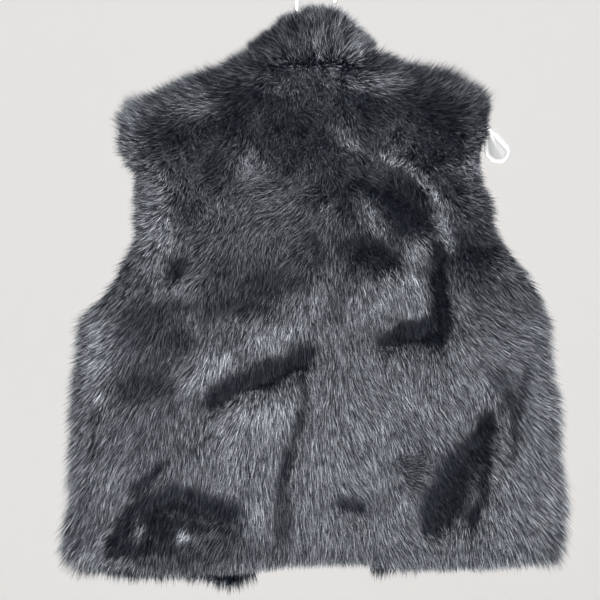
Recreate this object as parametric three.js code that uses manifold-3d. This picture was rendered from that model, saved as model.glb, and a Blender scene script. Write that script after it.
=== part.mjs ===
// A sleeveless faux fur vest with a stand collar, hanging open-fronted on a clear plastic top hanger.
// Millimetres, +Z up. The back of the vest faces -Y and its open front faces +Y, so -X is the wearer's left.
// The origin is the underside of the hook's arch, where a rail carries it.
// Every cloth panel is a wall as deep as its pile: the backing is on the inside, the tips of the fibres outside.

import * as THREE from "three";
import Module from "manifold-3d";

// Driving dimensions of the cloth
const SEAM_GAP = 0.3;
const NECK_SEAM_GAP = 0.9;
const WALL = 16; // backing and standing pile
const PILE_OVER_EDGE = 12; // how far the pile hangs past the backing at a free edge
const PILE_OVER_ARMHOLE = 11;
const HEM_ROUNDING = 0.035; // share of the height over which the pile rounds in at the hem
const SHOULDER_ROUNDING = 0.1; // likewise where the back and fronts close over the shoulder
const UNDERARM = 0.545; // share of the height where the side seam ends and the armhole begins
const ARMHOLE_FLARE = 0.08; // share of the height over which the armhole opens
const EDGE_DEPTH_OUTER = 0.66; // depth of a free edge, as a share of the panel's depth there
const EDGE_DEPTH_INNER = 0.7;

// Driving dimensions of the neck and collar
const NECK_CENTRE_X = -4;
const NECK_HALF_WIDTH = 72;
const NECK_POINT_Z = -80; // where neckline and shoulder seam meet
const BACK_NECK_DROP = 20;
const FRONT_NECK_DROP = 62;
const NECK_RIM_INSET = 16;
const NECK_RIM_DROP = 6; // how far the backing stands below the pile, at the back of the neck
const NECK_POINT_DROP = 11; // likewise at the neck point
const COLLAR_END_HEIGHT = 50;
const COLLAR_END_SPREAD = 4; // the open ends fall outwards by this
const COLLAR_BACK_LEAN = 4; // and the back of it leans in towards the neck
const COLLAR_SWELL = 0.35; // how much fuller the pile is half way up the collar's outside

// Driving dimensions of the hanger
const ROD_RADIUS = 3.3;
const HOOK_RADIUS = 21; // to the rod's centreline
const HOOK_CENTRE_Z = -(HOOK_RADIUS - ROD_RADIUS);
const HOOK_TIP_DROP = 6.8; // straight end below the hook's centre
const HOOK_BEND_TOP_Z = -46;
const HOOK_ROOT_Z = -84;
const ARM_THICKNESS = 7;
const ARM_EDGE_ROUNDING = 2;
const ARM_RIM = 4.5;
const ARM_WEB = 2;
const SHOULDER_OVER_ARM = 1.2;

// From this share of the height up, the backing's columns lean over to the neckline.
const RIM_FROM = 0.8;

// Outermost fibres seen from behind. Rise runs from 0 at the hem to 1 at the shoulder tip.
const sideOutline = [
  { rise: 0, left: -262, right: 264, depth: 40 },
  { rise: 0.03, left: -275, right: 268, depth: 40 },
  { rise: 0.09, left: -276, right: 272, depth: 39 },
  { rise: 0.15, left: -269, right: 272, depth: 38 },
  { rise: 0.23, left: -269, right: 268, depth: 37 },
  { rise: 0.33, left: -269, right: 265, depth: 37 },
  { rise: 0.42, left: -264, right: 257, depth: 37 },
  { rise: 0.5, left: -257, right: 255, depth: 38 },
  { rise: 0.545, left: -258, right: 251, depth: 38 },
  { rise: 0.6, left: -240, right: 243, depth: 38 },
  { rise: 0.65, left: -222, right: 223, depth: 38 },
  { rise: 0.7, left: -211, right: 209, depth: 38 },
  { rise: 0.74, left: -198, right: 196, depth: 37 },
  { rise: 0.8, left: -197, right: 191, depth: 37 },
  { rise: 0.85, left: -198, right: 185, depth: 36 },
  { rise: 0.9, left: -203, right: 186, depth: 36 },
  { rise: 0.95, left: -216, right: 193, depth: 35 },
  { rise: 1, left: -217, right: 194, depth: 34 },
];

// The shoulder ridges, from each shoulder tip to the neck point
const leftShoulder = [
  { x: -217, z: -152 },
  { x: -200, z: -135 },
  { x: -170, z: -122 },
  { x: -139, z: -108 },
  { x: -108, z: -97 },
  { x: -90, z: -87 },
  { x: -76, z: -80 },
];
const rightShoulder = [
  { x: 68, z: -80 },
  { x: 84, z: -88 },
  { x: 108, z: -95 },
  { x: 139, z: -101 },
  { x: 154, z: -106 },
  { x: 170, z: -117 },
  { x: 185, z: -125 },
  { x: 194, z: -140 },
];

// Hems, from the side seam to the middle on each front and right across on the back
const backHem = [
  { x: -276, z: -646 },
  { x: -150, z: -650 },
  { x: -60, z: -647 },
  { x: -15, z: -642 },
  { x: 40, z: -641 },
  { x: 120, z: -646 },
  { x: 200, z: -644 },
  { x: 272, z: -638 },
];
const leftFrontHem = [
  { x: -276, z: -646 },
  { x: -200, z: -659 },
  { x: -130, z: -662 },
  { x: -92, z: -671 },
  { x: -60, z: -656 },
];
const rightFrontHem = [
  { x: 52, z: -651 },
  { x: 64, z: -656 },
  { x: 120, z: -650 },
  { x: 200, z: -646 },
  { x: 272, z: -638 },
];

// The open front edges, hem to neckline
const frontEdges = [
  { rise: 0, left: -60, right: 52 },
  { rise: 0.25, left: -68, right: 59 },
  { rise: 0.55, left: -56, right: 50 },
  { rise: 0.8, left: -44, right: 37 },
  { rise: 1, left: -40, right: 32 },
];

// Top of the collar seen from behind, then on round the sides to its front ends
const collarTop = [
  { x: -92, z: -84 },
  { x: -72, z: -72 },
  { x: -53, z: -58 },
  { x: -36, z: -46 },
  { x: -14, z: -36 },
  { x: 14, z: -36 },
  { x: 37, z: -44 },
  { x: 50, z: -57 },
  { x: 64, z: -72 },
  { x: 84, z: -84 },
];

// The largest folds. Each runs from one end to the other; a positive depth is a trough, a negative one a ridge.
const backFolds = [
  { of: "roll above the waist crease", x1: -140, z1: -440, x2: 6, z2: -380, width: 22, depth: -6 },
  { of: "waist crease", x1: -134, z1: -476, x2: 14, z2: -414, width: 20, depth: 9 },
  { of: "crease to the hem", x1: -8, z1: -456, x2: -45, z2: -630, width: 18, depth: 7 },
  { of: "trough at the right hip", x1: 202, z1: -480, x2: 126, z2: -604, width: 26, depth: 9 },
  { of: "hollow behind the right shoulder", x1: 88, z1: -232, x2: 108, z2: -262, width: 28, depth: 8 },
  { of: "crease below the right shoulder blade", x1: 56, z1: -404, x2: 134, z2: -388, width: 21, depth: 8 },
  { of: "upright crease at the right side", x1: 142, z1: -262, x2: 144, z2: -412, width: 17, depth: 6 },
  { of: "crease from neck to right armhole", x1: 16, z1: -168, x2: 136, z2: -262, width: 17, depth: 6 },
  { of: "ridge over that crease", x1: 40, z1: -150, x2: 150, z2: -232, width: 18, depth: -5 },
  { of: "trough over the left hem", x1: -222, z1: -590, x2: -92, z2: -588, width: 24, depth: 8 },
  { of: "hollow under the left armhole", x1: -152, z1: -306, x2: -146, z2: -330, width: 20, depth: 5 },
];
const frontFolds = [
  { of: "roll at the left waist", x1: -210, z1: -414, x2: -98, z2: -456, width: 22, depth: -6 },
  { of: "crease at the left waist", x1: -206, z1: -450, x2: -92, z2: -492, width: 21, depth: 8 },
  { of: "hollow at the left chest", x1: -150, z1: -236, x2: -128, z2: -262, width: 26, depth: 7 },
  { of: "upright crease at the left hem", x1: -150, z1: -530, x2: -160, z2: -640, width: 18, depth: 6 },
  { of: "crease at the right chest", x1: 86, z1: -240, x2: 170, z2: -300, width: 20, depth: 7 },
  { of: "trough at the right hip", x1: 214, z1: -440, x2: 110, z2: -520, width: 24, depth: 9 },
  { of: "roll over the right hip", x1: 208, z1: -404, x2: 112, z2: -480, width: 20, depth: -5 },
  { of: "upright crease at the right hem", x1: 128, z1: -560, x2: 120, z2: -640, width: 18, depth: 5 },
];

// The hanger's right half, seen from behind: top edge outwards, round the drop-shaped end, back along the lower edge
const armTop = [
  { x: 0, z: -79 },
  { x: 20, z: -86 },
  { x: 60, z: -99 },
  { x: 100, z: -113 },
  { x: 150, z: -130 },
  { x: 170, z: -141 },
  { x: 189, z: -158.4 },
  { x: 211, z: -181.5 },
];
const armEnd = [
  { x: 214.6, z: -188 },
  { x: 214, z: -195 },
  { x: 210, z: -201 },
  { x: 203, z: -203.5 },
  { x: 195, z: -202 },
  { x: 189, z: -197 },
  { x: 186, z: -190 },
  { x: 185.5, z: -174 },
];
const armBottom = [
  { x: 180, z: -166 },
  { x: 165, z: -156 },
  { x: 100, z: -133 },
  { x: 40, z: -113 },
  { x: 0, z: -104 },
];

// Numbers of cells
const ARM_STEPS = 18;
const ARM_END_STEPS = 26;
const ROD_STEPS = 56;
const ROD_HALF_SIDES = 7;
const ROWS = 38;
const SHOULDER_COLUMNS = 12;
const BACK_NECK_COLUMNS = 14;
const FRONT_NECK_COLUMNS = 6;
const COLLAR_STEPS = 5;
const SIDE_EASING = 1.5; // above 1 draws the columns together towards the side seam
const ROW_EASING = 0.6; // draws the rows together towards hem and shoulder
const LAST_ROW = 0.9985; // one more row just under the shoulder seam

const lerp = THREE.MathUtils.lerp;
const smoothstep = THREE.MathUtils.smoothstep;

// A function that passes through one column of a table, read against another, without overshooting.
function curveOf(table, argument, column) {
  const a = table.map((row) => row[argument]);
  const b = table.map((row) => row[column]);
  const slopes = a.slice(1).map((at, i) => (b[i + 1] - b[i]) / (at - a[i]));
  const tangents = a.map((_, i) => {
    const before = slopes[Math.max(i - 1, 0)];
    const after = slopes[Math.min(i, slopes.length - 1)];
    return before * after > 0 ? (2 * before * after) / (before + after) : 0;
  });
  return (at) => {
    const place = THREE.MathUtils.clamp(at, a[0], a[a.length - 1]);
    const i = Math.min(a.findLastIndex((start) => start <= place), slopes.length - 1);
    const span = a[i + 1] - a[i];
    const u = (place - a[i]) / span;
    const bend = u * (1 - u) * span;
    const straight = lerp(b[i], b[i + 1], u * u * (3 - 2 * u));
    return straight + bend * ((1 - u) * tangents[i] - u * tangents[i + 1]);
  };
}

const leftSide = curveOf(sideOutline, "rise", "left");
const rightSide = curveOf(sideOutline, "rise", "right");
const panelDepth = curveOf(sideOutline, "rise", "depth");
const leftRidge = curveOf(leftShoulder, "x", "z");
const rightRidge = curveOf(rightShoulder, "x", "z");
const leftFrontEdge = curveOf(frontEdges, "rise", "left");
const rightFrontEdge = curveOf(frontEdges, "rise", "right");
const collarRidge = curveOf(collarTop, "x", "z");
const armRidge = curveOf(armTop, "x", "z");

const ridge = (x) => (x < NECK_CENTRE_X ? leftRidge(x) : rightRidge(x));
const underRidge = (x) => Math.max(armRidge(Math.abs(x)) + SHOULDER_OVER_ARM, ridge(x) - 1.6 * WALL);

// How far the pile is pushed in by the folds at a place on a panel.
function foldDepth(folds, x, z) {
  let sum = 0;
  for (const fold of folds) {
    const along = new THREE.Vector2(fold.x2 - fold.x1, fold.z2 - fold.z1);
    const from = new THREE.Vector2(x - fold.x1, z - fold.z1);
    const share = THREE.MathUtils.clamp(from.dot(along) / along.lengthSq(), 0, 1);
    const away = from.addScaledVector(along, -share).length() / fold.width;
    sum += fold.depth * Math.exp(-away * away);
  }
  return sum;
}

// Rounding of a panel towards the side seam (0 at the seam), opening to a free edge above the underarm.
function sideRounding(fromMiddle, power, rise, edgeDepth) {
  const seam = Math.sqrt(Math.max(0, 1 - fromMiddle ** power));
  const free = 1 - (1 - edgeDepth) * fromMiddle ** (power + 2);
  return lerp(seam, free, smoothstep(rise, UNDERARM, UNDERARM + ARMHOLE_FLARE));
}

// Rounding over the shoulder (0 at the seam); open is 1 on the neckline, where the panel doesn't close.
function shoulderRounding(rise, open) {
  const up = Math.max(0, (rise - (1 - SHOULDER_ROUNDING)) / SHOULDER_ROUNDING);
  return lerp(Math.sqrt(Math.max(0, 1 - up * up)), 1, open);
}

const hemRounding = (rise) => 1 - 0.25 * Math.max(0, 1 - rise / HEM_ROUNDING) ** 2;
const sideInset = (rise) =>
  lerp(WALL, PILE_OVER_ARMHOLE, smoothstep(rise, UNDERARM, UNDERARM + ARMHOLE_FLARE));

// How a panel's backing stands under its pile at the shoulder seam and the neckline. pastNeckPoint runs from 1 at the
// shoulder tip to 0 at the neck point; on the neckline, x is drawn towards the middle of the neck.
const rimX = (x) => NECK_CENTRE_X + (x - NECK_CENTRE_X) * (1 - NECK_RIM_INSET / NECK_HALF_WIDTH);
const neckPointX = (hand) => NECK_CENTRE_X + hand * NECK_HALF_WIDTH;

function backingTopX(hand, tip, x, pastNeckPoint) {
  return pastNeckPoint > 0 ? lerp(rimX(neckPointX(hand)), tip - hand * PILE_OVER_ARMHOLE, pastNeckPoint) : rimX(x);
}

const backingTopZ = (x, pastNeckPoint) =>
  lerp(NECK_POINT_Z - NECK_POINT_DROP, underRidge(x), smoothstep(pastNeckPoint, 0, 0.3));

// One point of the back. across runs from -1 at the wearer's left to 1; inside is 0 at the fibre tips, 1 at the backing.
function backPoint(across, rise, inside) {
  const share = (across + 1) / 2;
  const width = (at) =>
    lerp(leftSide(at) + inside * sideInset(at), rightSide(at) - inside * sideInset(at), share);
  const outerTopX = lerp(leftSide(1), rightSide(1), share);
  const hand = outerTopX < NECK_CENTRE_X ? -1 : 1;
  const tip = hand < 0 ? leftSide(1) : rightSide(1);
  const pastNeckPoint = (outerTopX - neckPointX(hand)) / (tip - neckPointX(hand));
  const onShoulder = pastNeckPoint > 1e-6;
  const fromNeck = onShoulder ? 1 : Math.min(1, Math.abs(outerTopX - NECK_CENTRE_X) / NECK_HALF_WIDTH);
  const open = Math.sqrt(1 - fromNeck ** 3);
  const topX = lerp(outerTopX, backingTopX(hand, tip, outerTopX, onShoulder ? pastNeckPoint : 0), inside);
  const x = width(rise) + (topX - width(1)) * smoothstep(rise, RIM_FROM, 1);
  const neckZ = NECK_POINT_Z - BACK_NECK_DROP * (1 - fromNeck ** 6);
  const outerTop = onShoulder ? ridge(topX) : neckZ;
  const rimDrop = lerp(NECK_RIM_DROP, NECK_POINT_DROP, fromNeck ** 2);
  const innerTop = onShoulder ? backingTopZ(topX, pastNeckPoint) : neckZ - rimDrop;
  const z = lerp(backHemAt(x) + inside * PILE_OVER_EDGE, lerp(outerTop, innerTop, inside), rise);
  const depth = panelDepth(rise) - inside * WALL;
  const edge = lerp(EDGE_DEPTH_OUTER, EDGE_DEPTH_INNER, inside);
  const form =
    depth *
    sideRounding(Math.abs(across), 4, rise, edge) *
    shoulderRounding(rise, open) *
    lerp(hemRounding(rise), 1, inside);
  const push = (1 - inside) * foldDepth(backFolds, x, z) * Math.min(1, form / WALL);
  return new THREE.Vector3(x, -(SEAM_GAP / 2 + form - push), z);
}

const backHemAt = curveOf(backHem, "x", "z");
const frontHems = { [-1]: curveOf(leftFrontHem, "x", "z"), 1: curveOf(rightFrontHem, "x", "z") };

// One point of a front. hand is -1 for the wearer's left; toMiddle runs from 0 at the side seam to 1 at the open edge.
function frontPoint(hand, toMiddle, rise, inside) {
  const side = hand < 0 ? leftSide : rightSide;
  const middle = hand < 0 ? leftFrontEdge : rightFrontEdge;
  const width = (at) =>
    lerp(side(at) - hand * inside * sideInset(at), middle(at) + hand * inside * PILE_OVER_EDGE, toMiddle);
  const neckShare = neckShareOf(hand);
  const downNeck = Math.max(0, (toMiddle - neckShare) / (1 - neckShare));
  const onShoulder = toMiddle < neckShare - 1e-6;
  const outerTopX = lerp(side(1), middle(1), toMiddle);
  const pastNeckPoint = onShoulder ? 1 - toMiddle / neckShare : 0;
  const backingX = onShoulder
    ? backingTopX(hand, side(1), outerTopX, pastNeckPoint)
    : lerp(rimX(neckPointX(hand)), middle(1), downNeck);
  const topX = lerp(outerTopX, backingX, inside);
  const x = width(rise) + (topX - width(1)) * smoothstep(rise, RIM_FROM, 1);
  const neckZ = NECK_POINT_Z - FRONT_NECK_DROP * downNeck ** 1.3;
  const outerTop = onShoulder ? ridge(topX) : neckZ;
  const innerTop = onShoulder ? backingTopZ(topX, pastNeckPoint) : neckZ - NECK_POINT_DROP;
  const z = lerp(frontHems[hand](x) + inside * PILE_OVER_EDGE, lerp(outerTop, innerTop, inside), rise);
  const depth = panelDepth(rise) - inside * WALL;
  const edge = lerp(EDGE_DEPTH_OUTER, EDGE_DEPTH_INNER, inside);
  const edgeRounding = 1 - (1 - inside) * 0.25 * Math.max(0, 1 - (1 - toMiddle) / 0.09) ** 2;
  const form =
    depth *
    sideRounding(1 - toMiddle, 3.1, rise, edge) *
    shoulderRounding(rise, Math.sin((downNeck * Math.PI) / 2)) *
    lerp(hemRounding(rise), 1, inside) *
    edgeRounding;
  const push = (1 - inside) * foldDepth(frontFolds, x, z) * Math.min(1, form / WALL);
  return new THREE.Vector3(x, SEAM_GAP / 2 + form - push, z);
}

// The share of a front's top that is shoulder, so that a column stands at the neck point.
function neckShareOf(hand) {
  const tip = hand < 0 ? leftSide(1) : rightSide(1);
  const neckPoint = NECK_CENTRE_X + hand * NECK_HALF_WIDTH;
  const edge = hand < 0 ? leftFrontEdge(1) : rightFrontEdge(1);
  return (tip - neckPoint) / (tip - edge);
}

// Where the columns and rows stand.
const steps = (count) => Array.from({ length: count + 1 }, (_, i) => i / count);
const rows = [
  ...steps(ROWS).slice(0, -1).map((u) => lerp(u, 0.5 - 0.5 * Math.cos(Math.PI * u), ROW_EASING)),
  LAST_ROW,
  1,
];
const fromSide = (count, end) => steps(count).map((u) => end * u ** SIDE_EASING);

function backColumns() {
  const left = leftSide(1);
  const width = rightSide(1) - left;
  const neckFrom = ((NECK_CENTRE_X - NECK_HALF_WIDTH - left) / width) * 2 - 1;
  const neckTo = ((NECK_CENTRE_X + NECK_HALF_WIDTH - left) / width) * 2 - 1;
  return [
    ...fromSide(SHOULDER_COLUMNS, 1 + neckFrom).map((u) => u - 1),
    ...steps(BACK_NECK_COLUMNS).slice(1, -1).map((u) => lerp(neckFrom, neckTo, u)),
    ...fromSide(SHOULDER_COLUMNS, 1 - neckTo).reverse().map((u) => 1 - u),
  ];
}

function frontColumns(hand) {
  const neckShare = neckShareOf(hand);
  return [
    ...fromSide(SHOULDER_COLUMNS, neckShare),
    ...steps(FRONT_NECK_COLUMNS).slice(1).map((u) => lerp(neckShare, 1, u)),
  ];
}

const lattice = (columns, point) => rows.map((rise) => columns.map((column) => point(column, rise)));

// A wall between two lattices of the same size, closed along its four edges.
function wallBetween(outer, inner, facesForward) {
  const height = outer.length;
  const width = outer[0].length;
  const points = [...outer.flat(), ...inner.flat()];
  const index = [];
  const quad = (a, b, c, d) => index.push(...(facesForward ? [a, d, b, b, d, c] : [a, b, c, a, c, d]));
  const out = (r, c) => r * width + c;
  const back = (r, c) => height * width + r * width + c;
  for (let r = 0; r < height - 1; r++)
    for (let c = 0; c < width - 1; c++) {
      quad(out(r, c), out(r, c + 1), out(r + 1, c + 1), out(r + 1, c));
      quad(back(r, c), back(r + 1, c), back(r + 1, c + 1), back(r, c + 1));
    }
  for (let c = 0; c < width - 1; c++) {
    quad(back(0, c), back(0, c + 1), out(0, c + 1), out(0, c));
    quad(out(height - 1, c), out(height - 1, c + 1), back(height - 1, c + 1), back(height - 1, c));
  }
  for (let r = 0; r < height - 1; r++) {
    quad(out(r, 0), out(r + 1, 0), back(r + 1, 0), back(r, 0));
    quad(out(r + 1, width - 1), out(r, width - 1), back(r, width - 1), back(r + 1, width - 1));
  }
  return new THREE.BufferGeometry().setFromPoints(points).setIndex(index);
}

// A solid through closed sections of the same number of points, capped at both ends.
function throughSections(sections) {
  const around = sections[0].length;
  const points = sections.flat();
  const index = [];
  for (let s = 0; s < sections.length - 1; s++)
    for (let k = 0; k < around; k++) {
      const a = s * around + k;
      const b = s * around + ((k + 1) % around);
      index.push(a, a + around, b, b, a + around, b + around);
    }
  [0, sections.length - 1].forEach((s) => {
    const middle = points.length;
    const section = sections[s];
    points.push(section.reduce((sum, p) => sum.add(p), new THREE.Vector3()).divideScalar(around));
    for (let k = 0; k < around; k++) {
      const a = s * around + k;
      const b = s * around + ((k + 1) % around);
      index.push(...(s === 0 ? [middle, a, b] : [middle, b, a]));
    }
  });
  return new THREE.BufferGeometry().setFromPoints(points).setIndex(index);
}

// The seam that the collar stands on, from the wearer's left front end round the back to the right one.
// Each place has the rim's outer and inner point and how far round the neck it is, -1 to 1, with 0 at the back.
function neckSeam(back, leftFront, rightFront) {
  const last = rows.length - 1;
  const place = (panel, column, round) => ({
    outer: panel.outer[last][column],
    inner: panel.inner[last][column],
    round,
  });
  const frontFrom = SHOULDER_COLUMNS;
  const frontPlaces = (panel, hand) =>
    steps(FRONT_NECK_COLUMNS)
      .slice(1)
      .map((u, i) => place(panel, frontFrom + 1 + i, hand * (0.5 + 0.5 * u)));
  const backPlaces = steps(BACK_NECK_COLUMNS).map((u, i) => place(back, SHOULDER_COLUMNS + i, u - 0.5));
  return [...frontPlaces(leftFront, -1).reverse(), ...backPlaces, ...frontPlaces(rightFront, 1)];
}

// The collar's section at one place of the seam: up its outer face, over the top and down its inner face.
function collarSection(seam, i) {
  const { outer, inner, round } = seam[i];
  const next = seam[Math.min(i + 1, seam.length - 1)];
  const before = seam[Math.max(i - 1, 0)];
  const along = next.outer.clone().add(next.inner).sub(before.outer).sub(before.inner);
  const across = outer.clone().sub(inner);
  const lift = across.clone().cross(along).normalize().multiplyScalar(NECK_SEAM_GAP);
  const footOuter = outer.clone().add(lift);
  const footInner = inner.clone().add(lift);
  const foot = footOuter.clone().add(footInner).multiplyScalar(0.5);
  const towardsEnd = smoothstep(Math.abs(round), 0.42, 1);
  const top = foot.clone();
  top.x += Math.sign(round) * COLLAR_END_SPREAD * towardsEnd;
  top.y += COLLAR_BACK_LEAN * (1 - towardsEnd);
  top.z = lerp(collarRidge(foot.x), outer.z + COLLAR_END_HEIGHT, towardsEnd);
  const half = across.clone().multiplyScalar(0.5);
  const face = (u, sign) => {
    const swell = sign > 0 ? COLLAR_SWELL * Math.sin(Math.PI * u) : 0;
    const fullness = (1 + swell) * Math.sqrt(1 - u ** 4);
    return foot.clone().lerp(top, u).addScaledVector(half, sign * fullness);
  };
  const up = steps(COLLAR_STEPS).slice(0, -1);
  return [...up.map((u) => face(u, 1)), top, ...[...up].reverse().map((u) => face(u, -1))];
}

function collarSolid(seam) {
  const sections = seam.map((_, i) => collarSection(seam, i));
  return throughSections(sections);
}

const wasm = await Module();
wasm.setup();

function toSolid(geometry) {
  const source = geometry.index ? geometry.toNonIndexed() : geometry;
  const position = source.getAttribute("position");
  const seen = new Map();
  const vertices = [];
  const triVerts = new Uint32Array(position.count);
  for (let i = 0; i < position.count; i++) {
    const p = [position.getX(i), position.getY(i), position.getZ(i)].map((v) => Math.round(v * 1e4) / 1e4);
    const key = p.join();
    if (!seen.has(key)) {
      seen.set(key, seen.size);
      vertices.push(...p);
    }
    triVerts[i] = seen.get(key);
  }
  return new wasm.Manifold(
    new wasm.Mesh({ numProp: 3, vertProperties: new Float32Array(vertices), triVerts }),
  );
}

function toGeometry(solid) {
  const mesh = solid.getMesh();
  return new THREE.BufferGeometry()
    .setAttribute("position", new THREE.BufferAttribute(mesh.vertProperties, 3))
    .setIndex(new THREE.BufferAttribute(mesh.triVerts, 1));
}

// Right half of the hanger's outline, with its end rounded through the points above.
function armOutline() {
  const last = armTop.length - 1;
  const top = steps(ARM_STEPS).map((u) => ({ x: u * armTop[last].x, z: armRidge(u * armTop[last].x) }));
  const through = [armTop[last], ...armEnd, armBottom[0]].map((p) => new THREE.Vector2(p.x, p.z));
  const end = new THREE.SplineCurve(through).getPoints(ARM_END_STEPS).slice(1, -1);
  return [...top, ...end.map((p) => ({ x: p.x, z: p.y })), ...armBottom];
}

// The same, or drawn in from its edge, in the plane that it hangs in.
function hangerOutline(drawnIn) {
  const half = armOutline();
  const inward = half.map((p, i) => {
    const before = half[i - 1] ?? { x: -half[1].x, z: half[1].z };
    const after = half[i + 1] ?? { x: -half[half.length - 2].x, z: half[half.length - 2].z };
    const direction = new THREE.Vector2(after.x - before.x, after.z - before.z).normalize();
    return new THREE.Vector2(p.x + direction.y * drawnIn, p.z - direction.x * drawnIn);
  });
  return inward;
}

// The whole hanger plate, edges rounded.
function armPlate() {
  const half = hangerOutline(0);
  const whole = [...half, ...half.slice(1, -1).reverse().map((p) => new THREE.Vector2(-p.x, p.y))];
  const plate = new THREE.ExtrudeGeometry(new THREE.Shape(whole.reverse()), {
    depth: ARM_THICKNESS - 2 * ARM_EDGE_ROUNDING,
    bevelThickness: ARM_EDGE_ROUNDING,
    bevelSize: ARM_EDGE_ROUNDING,
    bevelOffset: -ARM_EDGE_ROUNDING,
    bevelSegments: 2,
  });
  plate.rotateX(Math.PI / 2);
  plate.translate(0, (ARM_THICKNESS - 2 * ARM_EDGE_ROUNDING) / 2, 0);
  return toSolid(plate);
}

// A hollow in one face of one arm, which leaves a rim round a thin web.
function armPocket(hand, face) {
  const drawnIn = hangerOutline(ARM_RIM);
  const kept = drawnIn.filter((p) => p.x > 3 * ARM_RIM);
  const shape = new THREE.Shape(kept.map((p) => new THREE.Vector2(hand * p.x, p.y)));
  const pocket = new THREE.ExtrudeGeometry(shape, { depth: ARM_THICKNESS, bevelEnabled: false });
  pocket.rotateX(Math.PI / 2);
  pocket.translate(0, face < 0 ? -ARM_WEB / 2 : ARM_THICKNESS + ARM_WEB / 2, 0);
  return toSolid(pocket);
}

// The hook's rod, from its tip over the arch and down to the hanger's neck.
class HookLine extends THREE.CurvePath {
  constructor() {
    super();
    const at = (x, z) => new THREE.Vector3(x, 0, z);
    const quarter = (from, to, corner) => new THREE.QuadraticBezierCurve3(from, corner, to);
    const eighth = (angle) => at(HOOK_RADIUS * Math.cos(angle), HOOK_CENTRE_Z + HOOK_RADIUS * Math.sin(angle));
    this.add(new THREE.LineCurve3(at(HOOK_RADIUS, HOOK_CENTRE_Z - HOOK_TIP_DROP), at(HOOK_RADIUS, HOOK_CENTRE_Z)));
    for (let k = 0; k < 8; k++) {
      const from = (k * Math.PI) / 8;
      const to = ((k + 1) * Math.PI) / 8;
      const reach = HOOK_RADIUS / Math.cos(Math.PI / 16);
      const middle = (from + to) / 2;
      const corner = at(reach * Math.cos(middle), HOOK_CENTRE_Z + reach * Math.sin(middle));
      this.add(quarter(eighth(from), eighth(to), corner));
    }
    this.add(new THREE.LineCurve3(at(-HOOK_RADIUS, HOOK_CENTRE_Z), at(-HOOK_RADIUS, HOOK_BEND_TOP_Z)));
    const half = (HOOK_BEND_TOP_Z + HOOK_ROOT_Z) / 2;
    this.add(quarter(at(-HOOK_RADIUS, HOOK_BEND_TOP_Z), at(-HOOK_RADIUS / 2, half), at(-HOOK_RADIUS, half + 6)));
    this.add(quarter(at(-HOOK_RADIUS / 2, half), at(0, HOOK_ROOT_Z), at(0, half - 6)));
    this.add(new THREE.LineCurve3(at(0, HOOK_ROOT_Z), at(0, HOOK_ROOT_Z - 6)));
  }
}

function hookRod() {
  const section = new THREE.Shape().absarc(0, 0, ROD_RADIUS, 0, 2 * Math.PI);
  const rod = new THREE.ExtrudeGeometry(section, {
    extrudePath: new HookLine(),
    steps: ROD_STEPS,
    curveSegments: ROD_HALF_SIDES,
    bevelEnabled: false,
  });
  return toSolid(rod);
}

function hookTip() {
  const tip = new THREE.SphereGeometry(ROD_RADIUS, 2 * ROD_HALF_SIDES, 10);
  tip.rotateX(Math.PI / 2);
  tip.translate(HOOK_RADIUS, 0, HOOK_CENTRE_Z - HOOK_TIP_DROP);
  return toSolid(tip);
}

function hangerSolid() {
  let hanger = armPlate();
  for (const hand of [-1, 1]) for (const face of [-1, 1]) hanger = hanger.subtract(armPocket(hand, face));
  return toGeometry(hanger.add(hookRod()).add(hookTip()));
}

function meshOf(name, geometry, material) {
  geometry.computeVertexNormals();
  const mesh = new THREE.Mesh(geometry, material);
  mesh.name = name;
  return mesh;
}

const pile = () => new THREE.MeshStandardMaterial({ color: 0x3a3c42, roughness: 0.6, metalness: 0 });
const clearPlastic = () =>
  new THREE.MeshStandardMaterial({ color: 0xe8eaec, roughness: 0.12, metalness: 0, transparent: true, opacity: 0.45 });

const panelOf = (columns, point) => ({
  outer: lattice(columns, (column, rise) => point(column, rise, 0)),
  inner: lattice(columns, (column, rise) => point(column, rise, 1)),
});
const back = panelOf(backColumns(), backPoint);
const leftFront = panelOf(frontColumns(-1), (...place) => frontPoint(-1, ...place));
const rightFront = panelOf(frontColumns(1), (...place) => frontPoint(1, ...place));

const vest = new THREE.Group();
vest.name = "faux_fur_vest_on_hanger";
vest.add(
  meshOf("back", wallBetween(back.outer, back.inner, false), pile()),
  meshOf("front_left", wallBetween(leftFront.outer, leftFront.inner, true), pile()),
  meshOf("front_right", wallBetween(rightFront.outer, rightFront.inner, false), pile()),
  meshOf("collar", collarSolid(neckSeam(back, leftFront, rightFront)), pile()),
  meshOf("hanger", hangerSolid(), clearPlastic()),
);

export default vest;
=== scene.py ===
"""A long-pile faux fur vest on a clear plastic hanger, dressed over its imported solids.

Sizes are in millimetres until a mesh is made, and then in metres. The back of the vest faces -Y, so -X is the
wearer's left, and the origin is the underside of the hook's arch.
"""

import logging
import math
from dataclasses import dataclass, field, replace
from enum import Enum
from typing import Any, Callable, Sequence

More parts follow.
